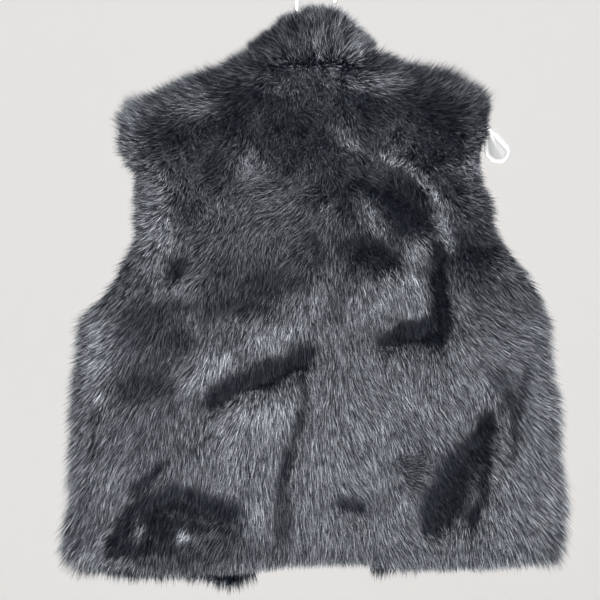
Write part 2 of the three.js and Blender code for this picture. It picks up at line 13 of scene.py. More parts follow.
import bmesh
import bpy
import numpy as np
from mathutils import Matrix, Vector


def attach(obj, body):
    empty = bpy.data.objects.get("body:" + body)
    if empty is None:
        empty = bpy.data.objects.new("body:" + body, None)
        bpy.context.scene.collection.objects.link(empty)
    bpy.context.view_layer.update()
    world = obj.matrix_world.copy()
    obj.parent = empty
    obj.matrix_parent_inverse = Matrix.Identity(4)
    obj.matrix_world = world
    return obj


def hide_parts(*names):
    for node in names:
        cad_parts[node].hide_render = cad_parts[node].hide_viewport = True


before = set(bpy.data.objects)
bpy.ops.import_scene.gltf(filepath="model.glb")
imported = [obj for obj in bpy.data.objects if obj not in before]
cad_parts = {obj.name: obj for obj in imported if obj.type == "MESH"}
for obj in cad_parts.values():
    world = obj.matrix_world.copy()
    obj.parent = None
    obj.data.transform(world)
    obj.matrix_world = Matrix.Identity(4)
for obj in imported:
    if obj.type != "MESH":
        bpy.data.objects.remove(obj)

LOG = logging.getLogger("vest")
MM = 0.001
BODY = "root"
Array = np.ndarray


class Hand(Enum):
    """A side of the vest, as the wearer has it, with the sign of its X."""

    LEFT = -1
    RIGHT = 1


def lerp(a: Any, b: Any, share: Any) -> Any:
    """The value that lies a share of the way from a to b."""
    return a + (b - a) * share


def smoothstep(value: Any, start: float, end: float) -> Any:
    """A soft step from 0 before start to 1 after end."""
    u = np.clip((value - start) / (end - start), 0, 1)
    return u * u * (3 - 2 * u)


def unit(vectors: Array) -> Array:
    """The vectors, each at length 1."""
    return vectors / np.maximum(np.linalg.norm(vectors, axis=-1, keepdims=True), 1e-9)


def curve_of(points: Sequence[tuple[float, float]]) -> Callable[[Any], Array]:
    """A smooth curve through points that doesn't overshoot between them.

    Args:
        points: pairs of argument and value, arguments rising.

    Returns:
        A function of a number or an array.
    """
    a, b = np.array(points, float).T
    slopes = np.diff(b) / np.diff(a)
    before = np.concatenate([slopes[:1], slopes])
    after = np.concatenate([slopes, slopes[-1:]])
    same = before * after > 0
    tangents = np.where(same, 2 * before * after / np.where(same, before + after, 1), 0)

    def at(value: Any) -> Array:
        """The curve's height at a value, or at each of an array."""
        place = np.clip(np.asarray(value, float), a[0], a[-1])
        i = np.clip(np.searchsorted(a, place, side="right") - 1, 0, len(slopes) - 1)
        span = a[i + 1] - a[i]
        u = (place - a[i]) / span
        straight = lerp(b[i], b[i + 1], u * u * (3 - 2 * u))
        return straight + u * (1 - u) * span * ((1 - u) * tangents[i] - u * tangents[i + 1])

    return at


def ripple(points: Array, wavelength: float, seed: int) -> Array:
    """Smooth noise of about -1 to 1 from crossed waves.

    Args:
        points: positions in millimetres, any shape ending in 3.
        wavelength: the waves' mean length in millimetres.
        seed: picks the waves.

    Returns:
        One number for each point.
    """
    chance = np.random.default_rng(seed)
    total = np.zeros(points.shape[:-1])
    for _ in range(9):
        way = unit(chance.normal(size=3)) * 2 * math.pi / (wavelength * chance.uniform(0.7, 1.5))
        total += np.sin(points @ way + chance.uniform(0, 2 * math.pi))
    return total / 2.6


def waving(points: Array, waves: Sequence[tuple[float, float, int]]) -> Array:
    """The sum of some ripples, each given as its amount, its wavelength in millimetres and its seed."""
    return sum(amount * ripple(points, wavelength, seed) for amount, wavelength, seed in waves)


@dataclass(frozen=True)
class Fold:
    """A crease of the cloth from one end to the other: a trough, or a ridge where its depth is negative."""

    x1: float
    z1: float
    x2: float
    z2: float
    width: float
    depth: float

    def push(self, x: Array, z: Array) -> Array:
        """How far the fold pushes the cloth in at each place."""
        along_x, along_z = self.x2 - self.x1, self.z2 - self.z1
        length2 = along_x**2 + along_z**2
        share = np.clip(((x - self.x1) * along_x + (z - self.z1) * along_z) / length2, 0, 1)
        away2 = (x - self.x1 - share * along_x) ** 2 + (z - self.z1 - share * along_z) ** 2
        return self.depth * np.exp(-away2 / self.width**2)


@dataclass(frozen=True)
class PilePatch:
    """A place where the pile has been brushed or pushed out of its lie.

    half_long and half_short are its reach along and across its tilt. light is painted light and shade, in
    stops: painted shade in creases and partings below 0, painted sheen above 0. stand is the share by which
    they stand up out of their lie, and turn swings their tips towards +X, in degrees.
    """

    x: float
    z: float
    half_long: float
    half_short: float
    tilt: float = 0
    light: float = 0
    stand: float = 0
    turn: float = 0

    def reach(self, x: Array, z: Array) -> Array:
        """The patch's strength at each place, 1 inside and fading over its rim."""
        angle = math.radians(self.tilt)
        along = (x - self.x) * math.cos(angle) + (z - self.z) * math.sin(angle)
        across = (z - self.z) * math.cos(angle) - (x - self.x) * math.sin(angle)
        return np.exp(-(((along / self.half_long) ** 2 + (across / self.half_short) ** 2) ** 2) * 0.5)


@dataclass(frozen=True)
class PileStroke:
    """A long or crooked place of the same kind, drawn as a stroke of changing half-width.

    path holds x, z and half-width at each bend, and the rest is as a patch has it.
    """

    path: tuple[tuple[float, float, float], ...]
    light: float = 0
    stand: float = 0
    turn: float = 0

    def reach(self, x: Array, z: Array) -> Array:
        """The stroke's strength at each place, 1 inside and fading over its rim."""
        nearest = np.full(np.shape(x), np.inf)
        for (x1, z1, wide1), (x2, z2, wide2) in zip(self.path, self.path[1:]):
            along_x, along_z = x2 - x1, z2 - z1
            share = ((x - x1) * along_x + (z - z1) * along_z) / (along_x**2 + along_z**2)
            share = np.clip(share, 0, 1)
            away = np.hypot(x - x1 - share * along_x, z - z1 - share * along_z)
            nearest = np.minimum(nearest, away / lerp(wide1, wide2, share))
        return 1 / (1 + nearest**6)


BrushedAndPaintedLight = PilePatch | PileStroke


def brushed_and_painted_light(*rows: tuple) -> tuple[BrushedAndPaintedLight, ...]:
    """The patches, and strokes where a row starts with a path, that some rows of values give."""
    return tuple(PileStroke(*row) if isinstance(row[0], tuple) else PilePatch(*row) for row in rows)


BACK_FOLDS = (
    Fold(-140, -440, 6, -380, 22, -6),  # roll above the waist crease
    Fold(-134, -476, 14, -414, 20, 9),  # waist crease
    Fold(-8, -456, -45, -630, 18, 7),  # crease to the hem
    Fold(202, -480, 126, -604, 26, 9),  # trough at the right hip
    Fold(88, -232, 108, -262, 28, 8),  # hollow behind the right shoulder
    Fold(56, -404, 134, -388, 21, 8),  # crease below the right shoulder blade
    Fold(142, -262, 144, -412, 17, 6),  # upright crease at the right side
    Fold(16, -168, 136, -262, 17, 6),  # crease from neck to right armhole
    Fold(40, -150, 150, -232, 18, -5),  # ridge over that crease
    Fold(-222, -590, -92, -588, 24, 8),  # trough over the left hem
    Fold(-152, -306, -146, -330, 20, 5),  # hollow under the left armhole
)
FRONT_FOLDS = (
    Fold(-210, -414, -98, -456, 22, -6),
    Fold(-206, -450, -92, -492, 21, 8),
    Fold(-150, -236, -128, -262, 26, 7),
    Fold(-150, -530, -160, -640, 18, 6),
    Fold(86, -240, 170, -300, 20, 7),
    Fold(214, -440, 110, -520, 24, 9),
    Fold(208, -404, 112, -480, 20, -5),
    Fold(128, -560, 120, -640, 18, 5),
)
# a patch's sixth value and a stroke's second are painted light: painted shade below 0, painted sheen above
BACK_PATCHES = brushed_and_painted_light(
    # across the shoulders
    (-18, -150, 209, 40, 0, -0.25),
    (-137, -136, 29, 20, -24, 1.5),
    (-159, -191, 44, 77, 0, 0.3),
    (169, -180, 29, 61, 0, 0.3),
    (37, -213, 24, 26, 0, -0.4),
    (-207, -170, 14, 42, 0, 1.5),
    (-180, -150, 28, 13, 0, 0.4),
    (64, -118, 37, 10, 5, 1, 0, 40),
    (-35, -113, 42, 15, 0, 1.5),
    (61, -118, 33, 13, 0, 1.1),
    (156, -126, 26, 10, -20, 0.9),
    (173, -191, 10, 48, 0, 0.9),
    (134, -170, 33, 31, 0, -0.45, 0.4),
    (-164, -180, 40, 18, 0, -0.25, 0.3),
    (-91, -146, 20, 31, 0, -0.8, 0.3),
    (-18, -178, 31, 26, 0, -0.6, 0.3),
    (61, -150, 15, 13, 0, -0.8, 0.3),
    # between the shoulder blades
    (-72, -211, 15, 19, 0, 1.3),
    (-102, -260, 20, 13, 0, 0.5),
    (-45, -249, 26, 13, -10, 0.8, 0, -25),
    (-72, -289, 37, 22, 0, 0.3),
    (-113, -215, 11, 15, 0, -1, 0.3),
    (-137, -262, 11, 20, 0, -0.2, 0.2),
    (((-144, -313, 5.5), (-153, -323, 8.8), (-157, -331, 5.5)), -2.4, 0.8),
    (-176, -237, 19, 26, 0, 1.3),
    (-180, -322, 15, 10, 0, 0.7),
    (-174, -289, 22, 24, 0, 1.4),
    (-153, -341, 29, 11, 0, 0.7),
    (-94, -338, 33, 26, 0, -0.7, 0.2),
    (-44, -337, 31, 12, 0, -1.1, 0.3),
    (-14, -357, 20, 18, 0, 0.6),
    (17, -263, 10, 13, 0, 0.9),
    (((-5, -289, 5.5), (6, -313, 7.7)), -1.1, 0.4),
    (20, -229, 20, 20, 0, -0.4, 0.3),
    (33, -254, 7, 15, 0, -1, 0.3),
    (((48, -228, 6.6), (61, -237, 6.6)), -1.4, 0.5),
    (37, -184, 13, 10, -40, 1.3, 0, 25),
    (((15, -170, 3.3), (31, -178, 4.4), (50, -194, 4.4), (69, -202, 4.4)), 0.8, 0, 50),
    (((74, -203, 4.4), (94, -210, 5.5), (115, -224, 5.5), (128, -243, 4.4)), 2.2, 0, 50),
    (104, -180, 26, 20, 0, 1.1),
    (((39, -298, 12.1), (61, -302, 16.5), (81, -309, 11)), -1.9, 0.8),
    (((76, -230, 11), (93, -246, 26.4), (104, -264, 19.8)), -1.5, 0.5),
    (((56, -253, 6.6), (63, -268, 9.9), (70, -283, 6.6)), 1.3),
    (112, -300, 13, 15, 0, 1.3),
    (((135, -254, 8.8), (138, -280, 8.8), (145, -300, 6.6)), 1.7),
    # the upright crease at the right
    ((
        (131, -299, 5.5), (131, -315, 8.8), (132, -337, 9.9), (135, -356, 8.8), (137, -376, 7.7),
        (132, -395, 7.7),
    ), -3.4, 0.8),
    (171, -302, 24, 18, 0, -1.2, 0.5),
    (159, -235, 15, 11, 0, -0.4, 0.3),
    (159, -213, 18, 8, 0, 0.9),
    (((50, -354, 17.6), (76, -350, 22), (100, -346, 22)), 0.85),
    (((65, -337, 6.6), (84, -331, 7.7), (104, -334, 7.7)), 0.5),
    (4, -352, 13, 18, 0, 0.4),
    (37, -341, 11, 11, 0, -0.7),
    (156, -360, 11, 18, 0, 0.5),
    # the waist
    ((
        (-123, -469, 5.5), (-102, -456, 11), (-72, -444, 12.1), (-39, -431, 12.1), (-20, -419, 9.9),
        (-5, -408, 5.5),
    ), -3.2, 0.8),
    (((-144, -452, 6.6), (-128, -440, 9.9), (-112, -429, 9.9), (-97, -420, 6.6)), 0.85),
    (((-70, -407, 7.7), (-52, -400, 12.1), (-23, -389, 9.9)), 0.8),
    (-186, -450, 29, 12, 0, -1.9, 0.4),
    (-180, -432, 33, 12, 0, -0.6),
    (-148, -403, 20, 11, 0, -1.1, 0.3),
    (-191, -403, 29, 29, 0, -0.6),
    (-175, -366, 31, 11, 0, -1),
    (-164, -385, 37, 22, 0, -0.4),
    (-200, -387, 18, 13, 0, -0.8),
    (-39, -352, 33, 13, 0, -0.5),
    (-39, -313, 26, 18, 0, -0.5),
    (-91, -365, 31, 11, 0, -1.1),
    (17, -365, 9, 11, 0, -0.8),
    (-243, -430, 15, 46, 0, 0.6),
    (((-246, -471, 3.3), (-243, -501, 3.3), (-241, -528, 3.3)), -1.1),
    ((
        (-13, -430, 3.3), (-11, -463, 4.4), (-18, -495, 5.5), (-30, -530, 6.6), (-35, -560, 7.7),
        (-36, -590, 9.9), (-36, -615, 8.8),
    ), -1.6, 0.3),
    (((-30, -522, 5.5), (-32, -547, 6.6)), -1),
    (-52, -476, 26, 22, 30, 0.45),
    (-28, -471, 13, 13, 0, 0.5),
    (-83, -491, 29, 18, 20, 0.55),
    (-72, -457, 15, 8, 20, 0.7),
    (-110, -539, 22, 15, 0, 0.25),
    (10, -550, 33, 22, 0, 0.15),
    ((
        (71, -400, 6.6), (87, -392, 9.9), (104, -391, 12.1), (120, -390, 14.3), (131, -386, 12.1),
    ), -3.9, 0.9),
    (((95, -380, 3.3), (108, -375, 3.9), (121, -370, 3.3)), 1.6),
    (160, -414, 15, 15, 0, 0.3),
    # the right hip
    ((
        (189, -482, 7.7), (187, -495, 11), (176, -513, 14.3), (157, -539, 18.7), (140, -569, 18.7),
        (130, -589, 16.5), (125, -605, 9.9),
    ), -4, 0.9),
    ((
        (189, -506, 3.3), (189, -530, 4.4), (185, -556, 5.5), (178, -580, 7.7), (171, -595, 5.5),
    ), -2.2, 0.6),
    (((155, -584, 6.6), (170, -591, 7.7)), -1.6, 0.6),
    (208, -449, 14, 18, 20, -1, 0.3),
    (187, -465, 11, 18, 0, 0.5),
    (183, -354, 37, 37, 0, -0.3),
    (221, -319, 18, 15, 0, 0.5),
    (-224, -388, 26, 10, 0, 0.5),
    (213, -471, 9, 13, 0, -0.9),
    (((232, -430, 3.3), (226, -463, 3.3), (219, -495, 3.3), (215, -528, 3.3)), -1.8),
    (((26, -575, 4.4), (41, -578, 7.7), (53, -582, 5.5)), -2.8, 0.7),
    (44, -579, 31, 11, 0, -0.5, 0.2),
    (((15, -579, 3.3), (30, -578, 4.4)), -0.8),
    (97, -537, 13, 9, 0, -0.6, 0.3, 60),
    (116, -522, 8, 26, 0, -0.8),
    # the left hip
    ((
        (-218, -620, 7.7), (-207, -596, 9.9), (-184, -579, 11), (-157, -572, 14.3),
        (-128, -576, 14.3), (-104, -584, 9.9), (-85, -591, 5.5),
    ), -3.4, 0.8),
    (((-222, -628, 6.6), (-202, -627, 8.8), (-180, -626, 5.5)), -2.6, 0.7),
    (((-180, -602, 8.8), (-161, -602, 9.9), (-131, -602, 6.6)), -3, 0.8),
    (((-163, -534, 3.3), (-178, -547, 5), (-200, -565, 6.6)), -2.6, 0.6),
    (-158, -559, 13, 8, 0, 0.9),
    (-104, -609, 26, 15, 0, -1.5, 0.4),
    (-164, -620, 22, 9, 0, -1.4, 0.4),
    (-178, -593, 13, 15, 0, -0.8),
    (-88, -628, 62, 10, 0, -0.5),
    (15, -633, 209, 9, 0, -0.3),
    (-137, -645, 33, 9, 0, -0.6),
    (-144, -610, 8, 9, 0, 2.6),
    (-195, -598, 8, 9, 0, 1.4),
    (-229, -566, 14, 14, 0, 0.1),
    (-70, -593, 11, 20, 0, 0.3),
    (((-139, -521, 2.8), (-111, -506, 2.8)), -1.4),
    (-251, -604, 15, 18, 0, -0.4),
    (-180, -495, 55, 44, 0, -0.5),
    (-159, -636, 66, 11, 0, -0.7),
    (-237, -640, 33, 10, 0, 0.3),
    # the way the pile is brushed
    (58, -522, 86, 110, 0, 0, 0, 22),
    (-30, -260, 45, 45, 0, 0, 0, -30),
    (210, -387, 50, 61, 0, 0, 0, 38),
    (222, -542, 45, 75, 0, 0, 0, 18),
    (-259, -376, 35, 45, 0, 0, 0, -35),
    (96, -536, 14, 14, 0, 0, 0.1, 85),
    (-235, -636, 45, 40, 0, 0, 0, -14),
)
# the sixth values are painted light in stops: painted shade below 0, painted sheen above 0
FRONT_PATCHES = brushed_and_painted_light(
    (-142, -250, 34, 24, 60, -1.54, 0.8),
    (-160, -470, 58, 14, -22, -1.54, 0.7),
    (-112, -570, 16, 40, 0, -0.99, 0.4),
    (-96, -664, 56, 12, 0, 0.2),
    (-210, -330, 22, 14, 30, -0.88, 0.4),
    (-160, -420, 62, 14, -22, 0.7),
    (-100, -320, 26, 60, 0, 0.5, 0, 12),
    (-190, -570, 34, 30, 0, 0.5, 0, -14),
    (128, -272, 44, 16, -36, -1.43, 0.7),
    (164, -482, 60, 16, 38, -1.65, 0.8),
    (88, -440, 16, 34, 0, -0.77, 0.3),
    (124, -596, 12, 44, 0, -0.99, 0.4),
    (98, -350, 30, 44, 0, 0.6, 0, -14),
    (190, -400, 30, 24, 0, 0.5, 0, 20),
    (190, -600, 36, 24, 0, 0.4, 0, 14),
)


BY_HANGER_END = PilePatch(186, -180, 24, 30)  # where the hanger's right end comes out of the armhole
# the sixth values are painted light in stops: painted shade below 0, painted sheen above 0
COLLAR_PATCHES = brushed_and_painted_light(
    (4, -86, 56, 18, 0, 1.5),
    (-60, -70, 44, 26, 0, -1.0),
    (18, -50, 34, 22, 0, 0.5),
    (62, -84, 28, 8, -28, 0.5),
    (0, -98, 80, 7, 0, 0.6),
)


# painted light and shade by height: the lying pile is painted paler where it turns more to the light
PAINTED_LIGHT_BY_HEIGHT = curve_of((
    (-670, 0.76), (-560, 0.76), (-460, 0.74), (-400, 0.64), (-330, 0.47), (-260, 0.385), (-200, 0.36),
    (-150, 0.32), (-80, 0.37),
))


@dataclass(frozen=True)
class Cut:
    """The vest's driving sizes in millimetres, as its solids have them."""

    seam_gap: float = 0.3
    wall: float = 16
    pile_over_edge: float = 12
    pile_over_armhole: float = 11
    hem_rounding: float = 0.035
    shoulder_rounding: float = 0.1
    underarm: float = 0.545
    armhole_flare: float = 0.08
    edge_depth_outer: float = 0.66
    edge_depth_inner: float = 0.7
    rim_from: float = 0.8
    neck_x: float = -4
    neck_half_width: float = 72
    neck_point_z: float = -80
    back_neck_drop: float = 20
    front_neck_drop: float = 62
    neck_rim_inset: float = 16
    neck_rim_drop: float = 6
    neck_point_drop: float = 11
    over_arm: float = 1.2
    soft_waves: tuple = ((1.6, 85, 3),)
    left_side: Callable = curve_of((
        (0, -262), (0.03, -275), (0.09, -276), (0.15, -269), (0.23, -269), (0.33, -269), (0.42, -264),
        (0.5, -257), (0.545, -258), (0.6, -240), (0.65, -222), (0.7, -211), (0.74, -198), (0.8, -197),
        (0.85, -198), (0.9, -203), (0.95, -216), (1, -217),
    ))
    right_side: Callable = curve_of((
        (0, 264), (0.03, 268), (0.09, 272), (0.15, 272), (0.23, 268), (0.33, 265), (0.42, 257), (0.5, 255),
        (0.545, 251), (0.6, 243), (0.65, 223), (0.7, 209), (0.74, 196), (0.8, 191), (0.85, 185), (0.9, 186),
        (0.95, 193), (1, 194),
    ))
    depth: Callable = curve_of((
        (0, 40), (0.03, 40), (0.09, 39), (0.15, 38), (0.23, 37), (0.42, 37), (0.5, 38), (0.7, 38), (0.74, 37),
        (0.8, 37), (0.85, 36), (0.9, 36), (0.95, 35), (1, 34),
    ))
    left_ridge: Callable = curve_of((
        (-217, -152), (-200, -135), (-170, -122), (-139, -108), (-108, -97), (-90, -87), (-76, -80),
    ))
    right_ridge: Callable = curve_of((
        (68, -80), (84, -88), (108, -95), (139, -101), (154, -106), (170, -117), (185, -125), (194, -140),
    ))
    arm_top: Callable = curve_of((
        (0, -79), (20, -86), (60, -99), (100, -113), (150, -130), (170, -141), (189, -158.4), (211, -181.5),
    ))
    back_hem: Callable = curve_of((
        (-276, -646), (-150, -650), (-60, -647), (-15, -642), (40, -641), (120, -646), (200, -644),
        (272, -638),
    ))
    left_front_hem: Callable = curve_of(((-276, -646), (-200, -659), (-130, -662), (-92, -671), (-60, -656)))
    right_front_hem: Callable = curve_of(((52, -651), (64, -656), (120, -650), (200, -646), (272, -638)))
    left_edge: Callable = curve_of(((0, -60), (0.25, -68), (0.55, -56), (0.8, -44), (1, -40)))
    right_edge: Callable = curve_of(((0, 52), (0.25, 59), (0.55, 50), (0.8, 37), (1, 32)))

    def ridge(self, x: Array) -> Array:
        """Height of the outermost fibres over the shoulders."""
        return np.where(x < self.neck_x, self.left_ridge(x), self.right_ridge(x))

    def under_ridge(self, x: Array) -> Array:
        """Height of the backing's underside over the hanger's arms."""
        return np.maximum(self.arm_top(np.abs(x)) + self.over_arm, self.ridge(x) - 1.6 * self.wall)

    def rim_x(self, x: Array) -> Array:
        """X of the backing at the neckline, from X of the fibre tips."""
        return self.neck_x + (x - self.neck_x) * (1 - self.neck_rim_inset / self.neck_half_width)

    def backing_top_z(self, x: Array, past_neck: Array) -> Array:
        """Height of the backing along the shoulder seam."""
        by_neck = self.neck_point_z - self.neck_point_drop
        return lerp(by_neck, self.under_ridge(x), smoothstep(past_neck, 0, 0.3))

    def side_inset(self, rise: Array) -> Array:
        """How far the fibre tips reach past the backing at the side."""
        return lerp(self.wall, self.pile_over_armhole, self.above_underarm(rise))

    def above_underarm(self, rise: Array) -> Array:
        """0 along the side seam, 1 along the armhole."""
        return smoothstep(rise, self.underarm, self.underarm + self.armhole_flare)

    def form(self, rise: Array, inside: float, from_middle: Array, power: float, open_: Array) -> Array:
        """Distance of a panel's surface from the vest's middle plane, before its folds."""
        edge = lerp(self.edge_depth_outer, self.edge_depth_inner, inside)
        seam = np.sqrt(np.maximum(0, 1 - from_middle**power))
        free = 1 - (1 - edge) * from_middle ** (power + 2)
        up = np.maximum(0, (rise - (1 - self.shoulder_rounding)) / self.shoulder_rounding)
        shoulder = lerp(np.sqrt(np.maximum(0, 1 - up * up)), 1, open_)
        hem = 1 - (1 - inside) * 0.25 * np.maximum(0, 1 - rise / self.hem_rounding) ** 2
        depth = self.depth(rise) - inside * self.wall
        return depth * lerp(seam, free, self.above_underarm(rise)) * shoulder * hem

    def pushed(self, form: Array, folds: Sequence[Fold], x: Array, z: Array) -> Array:
        """The same distance with the folds and the cloth's soft waves in it."""
        push = sum(fold.push(x, z) for fold in folds)
        place = np.stack([x, np.zeros_like(x), z], -1)
        push = push + waving(place, self.soft_waves)
        return self.seam_gap / 2 + form - push * np.minimum(1, form / self.wall)

    def back(self, across: Array, rise: Array, inside: float) -> Array:
        """Points of the back panel.

        Args:
            across: -1 at the wearer's left seam to 1 at the right one.
            rise: 0 at the hem to 1 at the shoulders and neckline.
            inside: 0 at the fibre tips to 1 at the backing's inner face.

        Returns:
            The points, in millimetres.
        """
        share = (across + 1) / 2

        def width(at: Any) -> Array:
            """X across the panel at a height."""
            inset = inside * self.side_inset(at)
            return lerp(self.left_side(at) + inset, self.right_side(at) - inset, share)

        outer_x = lerp(self.left_side(1), self.right_side(1), share)
        hand = np.where(outer_x < self.neck_x, -1, 1)
        tip = np.where(hand < 0, self.left_side(1), self.right_side(1))
        neck_point = self.neck_x + hand * self.neck_half_width
        past = (outer_x - neck_point) / (tip - neck_point)
        shoulder = past > 1e-6
        from_neck = np.where(shoulder, 1, np.minimum(1, np.abs(outer_x - self.neck_x) / self.neck_half_width))
        over_arm = lerp(self.rim_x(neck_point), tip - hand * self.pile_over_armhole, past)
        backing = np.where(shoulder, over_arm, self.rim_x(outer_x))
        top_x = lerp(outer_x, backing, inside)
        x = width(rise) + (top_x - width(1)) * smoothstep(rise, self.rim_from, 1)
        neck_z = self.neck_point_z - self.back_neck_drop * (1 - from_neck**6)
        outer_top = np.where(shoulder, self.ridge(top_x), neck_z)
        drop = lerp(self.neck_rim_drop, self.neck_point_drop, from_neck**2)
        inner_top = np.where(shoulder, self.backing_top_z(top_x, past), neck_z - drop)
        z = lerp(self.back_hem(x) + inside * self.pile_over_edge, lerp(outer_top, inner_top, inside), rise)
        form = self.form(rise, inside, np.abs(across), 4, np.sqrt(1 - from_neck**3))
        return np.stack([x, -self.pushed(form, BACK_FOLDS, x, z), z], -1)

    def neck_share(self, hand: Hand) -> float:
        """The share of a front's top that is shoulder."""
        left = hand is Hand.LEFT
        side, middle = (self.left_side, self.left_edge) if left else (self.right_side, self.right_edge)
        tip, edge = side(1), middle(1)
        return float((tip - self.neck_x - hand.value * self.neck_half_width) / (tip - edge))

    def front(self, hand: Hand, to_middle: Array, rise: Array, inside: float) -> Array:
        """Points of a front panel.

        Args:
            hand: the wearer's side.
            to_middle: 0 at the side seam to 1 at the open edge.
            rise: 0 at the hem to 1 at the shoulder and neckline.
            inside: 0 at the fibre tips to 1 at the backing's inner face.

        Returns:
            The points, in millimetres.
        """
        left = hand is Hand.LEFT
        sign = hand.value
        side, middle = (self.left_side, self.left_edge) if left else (self.right_side, self.right_edge)
        hem = self.left_front_hem if left else self.right_front_hem

        def width(at: Any) -> Array:
            """X across the panel at a height."""
            outer = side(at) - sign * inside * self.side_inset(at)
            return lerp(outer, middle(at) + sign * inside * self.pile_over_edge, to_middle)

        neck_share = self.neck_share(hand)
        down = np.maximum(0, (to_middle - neck_share) / (1 - neck_share))
        shoulder = to_middle < neck_share - 1e-6
        past = np.where(shoulder, 1 - to_middle / neck_share, 0)
        neck_point = self.neck_x + sign * self.neck_half_width
        rim = self.rim_x(neck_point)
        backing = np.where(
            shoulder, lerp(rim, side(1) - sign * self.pile_over_armhole, past), lerp(rim, middle(1), down)
        )
        top_x = lerp(lerp(side(1), middle(1), to_middle), backing, inside)
        x = width(rise) + (top_x - width(1)) * smoothstep(rise, self.rim_from, 1)
        neck_z = self.neck_point_z - self.front_neck_drop * down**1.3
        outer_top = np.where(shoulder, self.ridge(top_x), neck_z)
        inner_top = np.where(shoulder, self.backing_top_z(top_x, past), neck_z - self.neck_point_drop)
        z = lerp(hem(x) + inside * self.pile_over_edge, lerp(outer_top, inner_top, inside), rise)
        form = self.form(rise, inside, 1 - to_middle, 3.1, np.sin(down * math.pi / 2))
        form = form * (1 - (1 - inside) * 0.25 * np.maximum(0, 1 - (1 - to_middle) / 0.09) ** 2)
        return np.stack([x, self.pushed(form, FRONT_FOLDS, x, z), z], -1)


def grid_faces(height: int, width: int, flip: bool, start: int = 0) -> list[tuple[int, ...]]:
    """Quads of a lattice that is stored row by row from start."""
    r, c = np.meshgrid(np.arange(height - 1), np.arange(width - 1), indexing="ij")
    a = (start + r * width + c).ravel()
    quads = np.stack([a, a + 1, a + width + 1, a + width], -1)
    return (quads[:, ::-1] if flip else quads).tolist()


def mesh_object(
    name: str, points: Array, faces: list, material: bpy.types.Material | None = None
) -> bpy.types.Object:
    """A mesh object at the origin.

    Args:
        name: the object's name.
        points: its vertices, in millimetres.
        faces: the vertices' numbers, face by face.
        material: its finish, if it has one already.

    Returns:
        The object, smooth shaded.
    """
    mesh = bpy.data.meshes.new(name)
    mesh.from_pydata((points.reshape(-1, 3) * MM).tolist(), [], faces)
    mesh.update()
    mesh.polygons.foreach_set("use_smooth", [True] * len(mesh.polygons))
    if material:
        mesh.materials.append(material)
    made = bpy.data.objects.new(name, mesh)
    bpy.context.scene.collection.objects.link(made)
    return made


def thin_shell(
    name: str, outer: Array, inner: Array, flip: bool, material: bpy.types.Material
) -> bpy.types.Object:
    """A closed cloth between two lattices of one size.

    Args:
        name: the piece's name.
        outer: the pile side's points, rows by columns.
        inner: the wrong side's points, likewise.
        flip: turns every face round.
        material: its finish.

    Returns:
        The mesh object.
    """
    height, width = outer.shape[:2]
    count = height * width
    faces = grid_faces(height, width, flip) + grid_faces(height, width, not flip, count)
    ring = (
        [(0, c) for c in range(width)]
        + [(r, width - 1) for r in range(1, height)]
        + [(height - 1, c) for c in range(width - 2, -1, -1)]
        + [(r, 0) for r in range(height - 2, 0, -1)]
    )
    loop = [r * width + c for r, c in ring]
    for a, b in zip(loop, loop[1:] + loop[:1]):
        quad = (a, a + count, b + count, b)
        faces.append(quad[::-1] if flip else quad)
    return mesh_object(name, np.concatenate([outer.reshape(-1, 3), inner.reshape(-1, 3)]), faces, material)


def lattice_normals(points: Array, flip: bool) -> Array:
    """Outward normals of a lattice, from its rows and columns."""
    across = np.gradient(points, axis=1)
    up = np.gradient(points, axis=0)
    normal = unit(np.cross(across, up))
    return -normal if flip else normal


def linear(code: str) -> tuple[float, float, float, float]:
    """A hex colour as Blender's linear one."""
    values = [int(code[i : i + 2], 16) / 255 for i in (1, 3, 5)]
    return (*(v / 12.92 if v <= 0.04045 else ((v + 0.055) / 1.055) ** 2.4 for v in values), 1.0)


def feed(tree: bpy.types.NodeTree, node: bpy.types.Node, inputs: dict) -> None:
    """Sets a node's inputs.

    Args:
        tree: the shader or geometry tree.
        node: the node.
        inputs: by name or number, a value, a socket to link from, or a node for its first output in use.
    """
    for name, value in inputs.items():
        if isinstance(value, bpy.types.Node):
            value = next(output for output in value.outputs if output.enabled)
        if isinstance(value, bpy.types.NodeSocket):
            tree.links.new(value, node.inputs[name])
        else:
            node.inputs[name].default_value = value


def add_node(
    tree: bpy.types.NodeTree, kind: str, inputs: dict | None = None, **settings: Any
) -> bpy.types.Node:
    """Adds a node to a tree.

    Args:
        tree: the shader or geometry tree.
        kind: the node's type.
        inputs: what feeds it, as in feed.
        settings: the node's own properties.

    Returns:
        The node.
    """
    made = tree.nodes.new(kind)
    for name, value in settings.items():
        setattr(made, name, value)
    feed(tree, made, inputs or {})
    return made


def new_material(name: str) -> tuple[bpy.types.Material, bpy.types.NodeTree, bpy.types.Node]:
    """A material with its tree and its Principled shader."""
    material = bpy.data.materials.new(name)
    material.use_nodes = True
    tree = material.node_tree
    return material, tree, tree.nodes["Principled BSDF"]


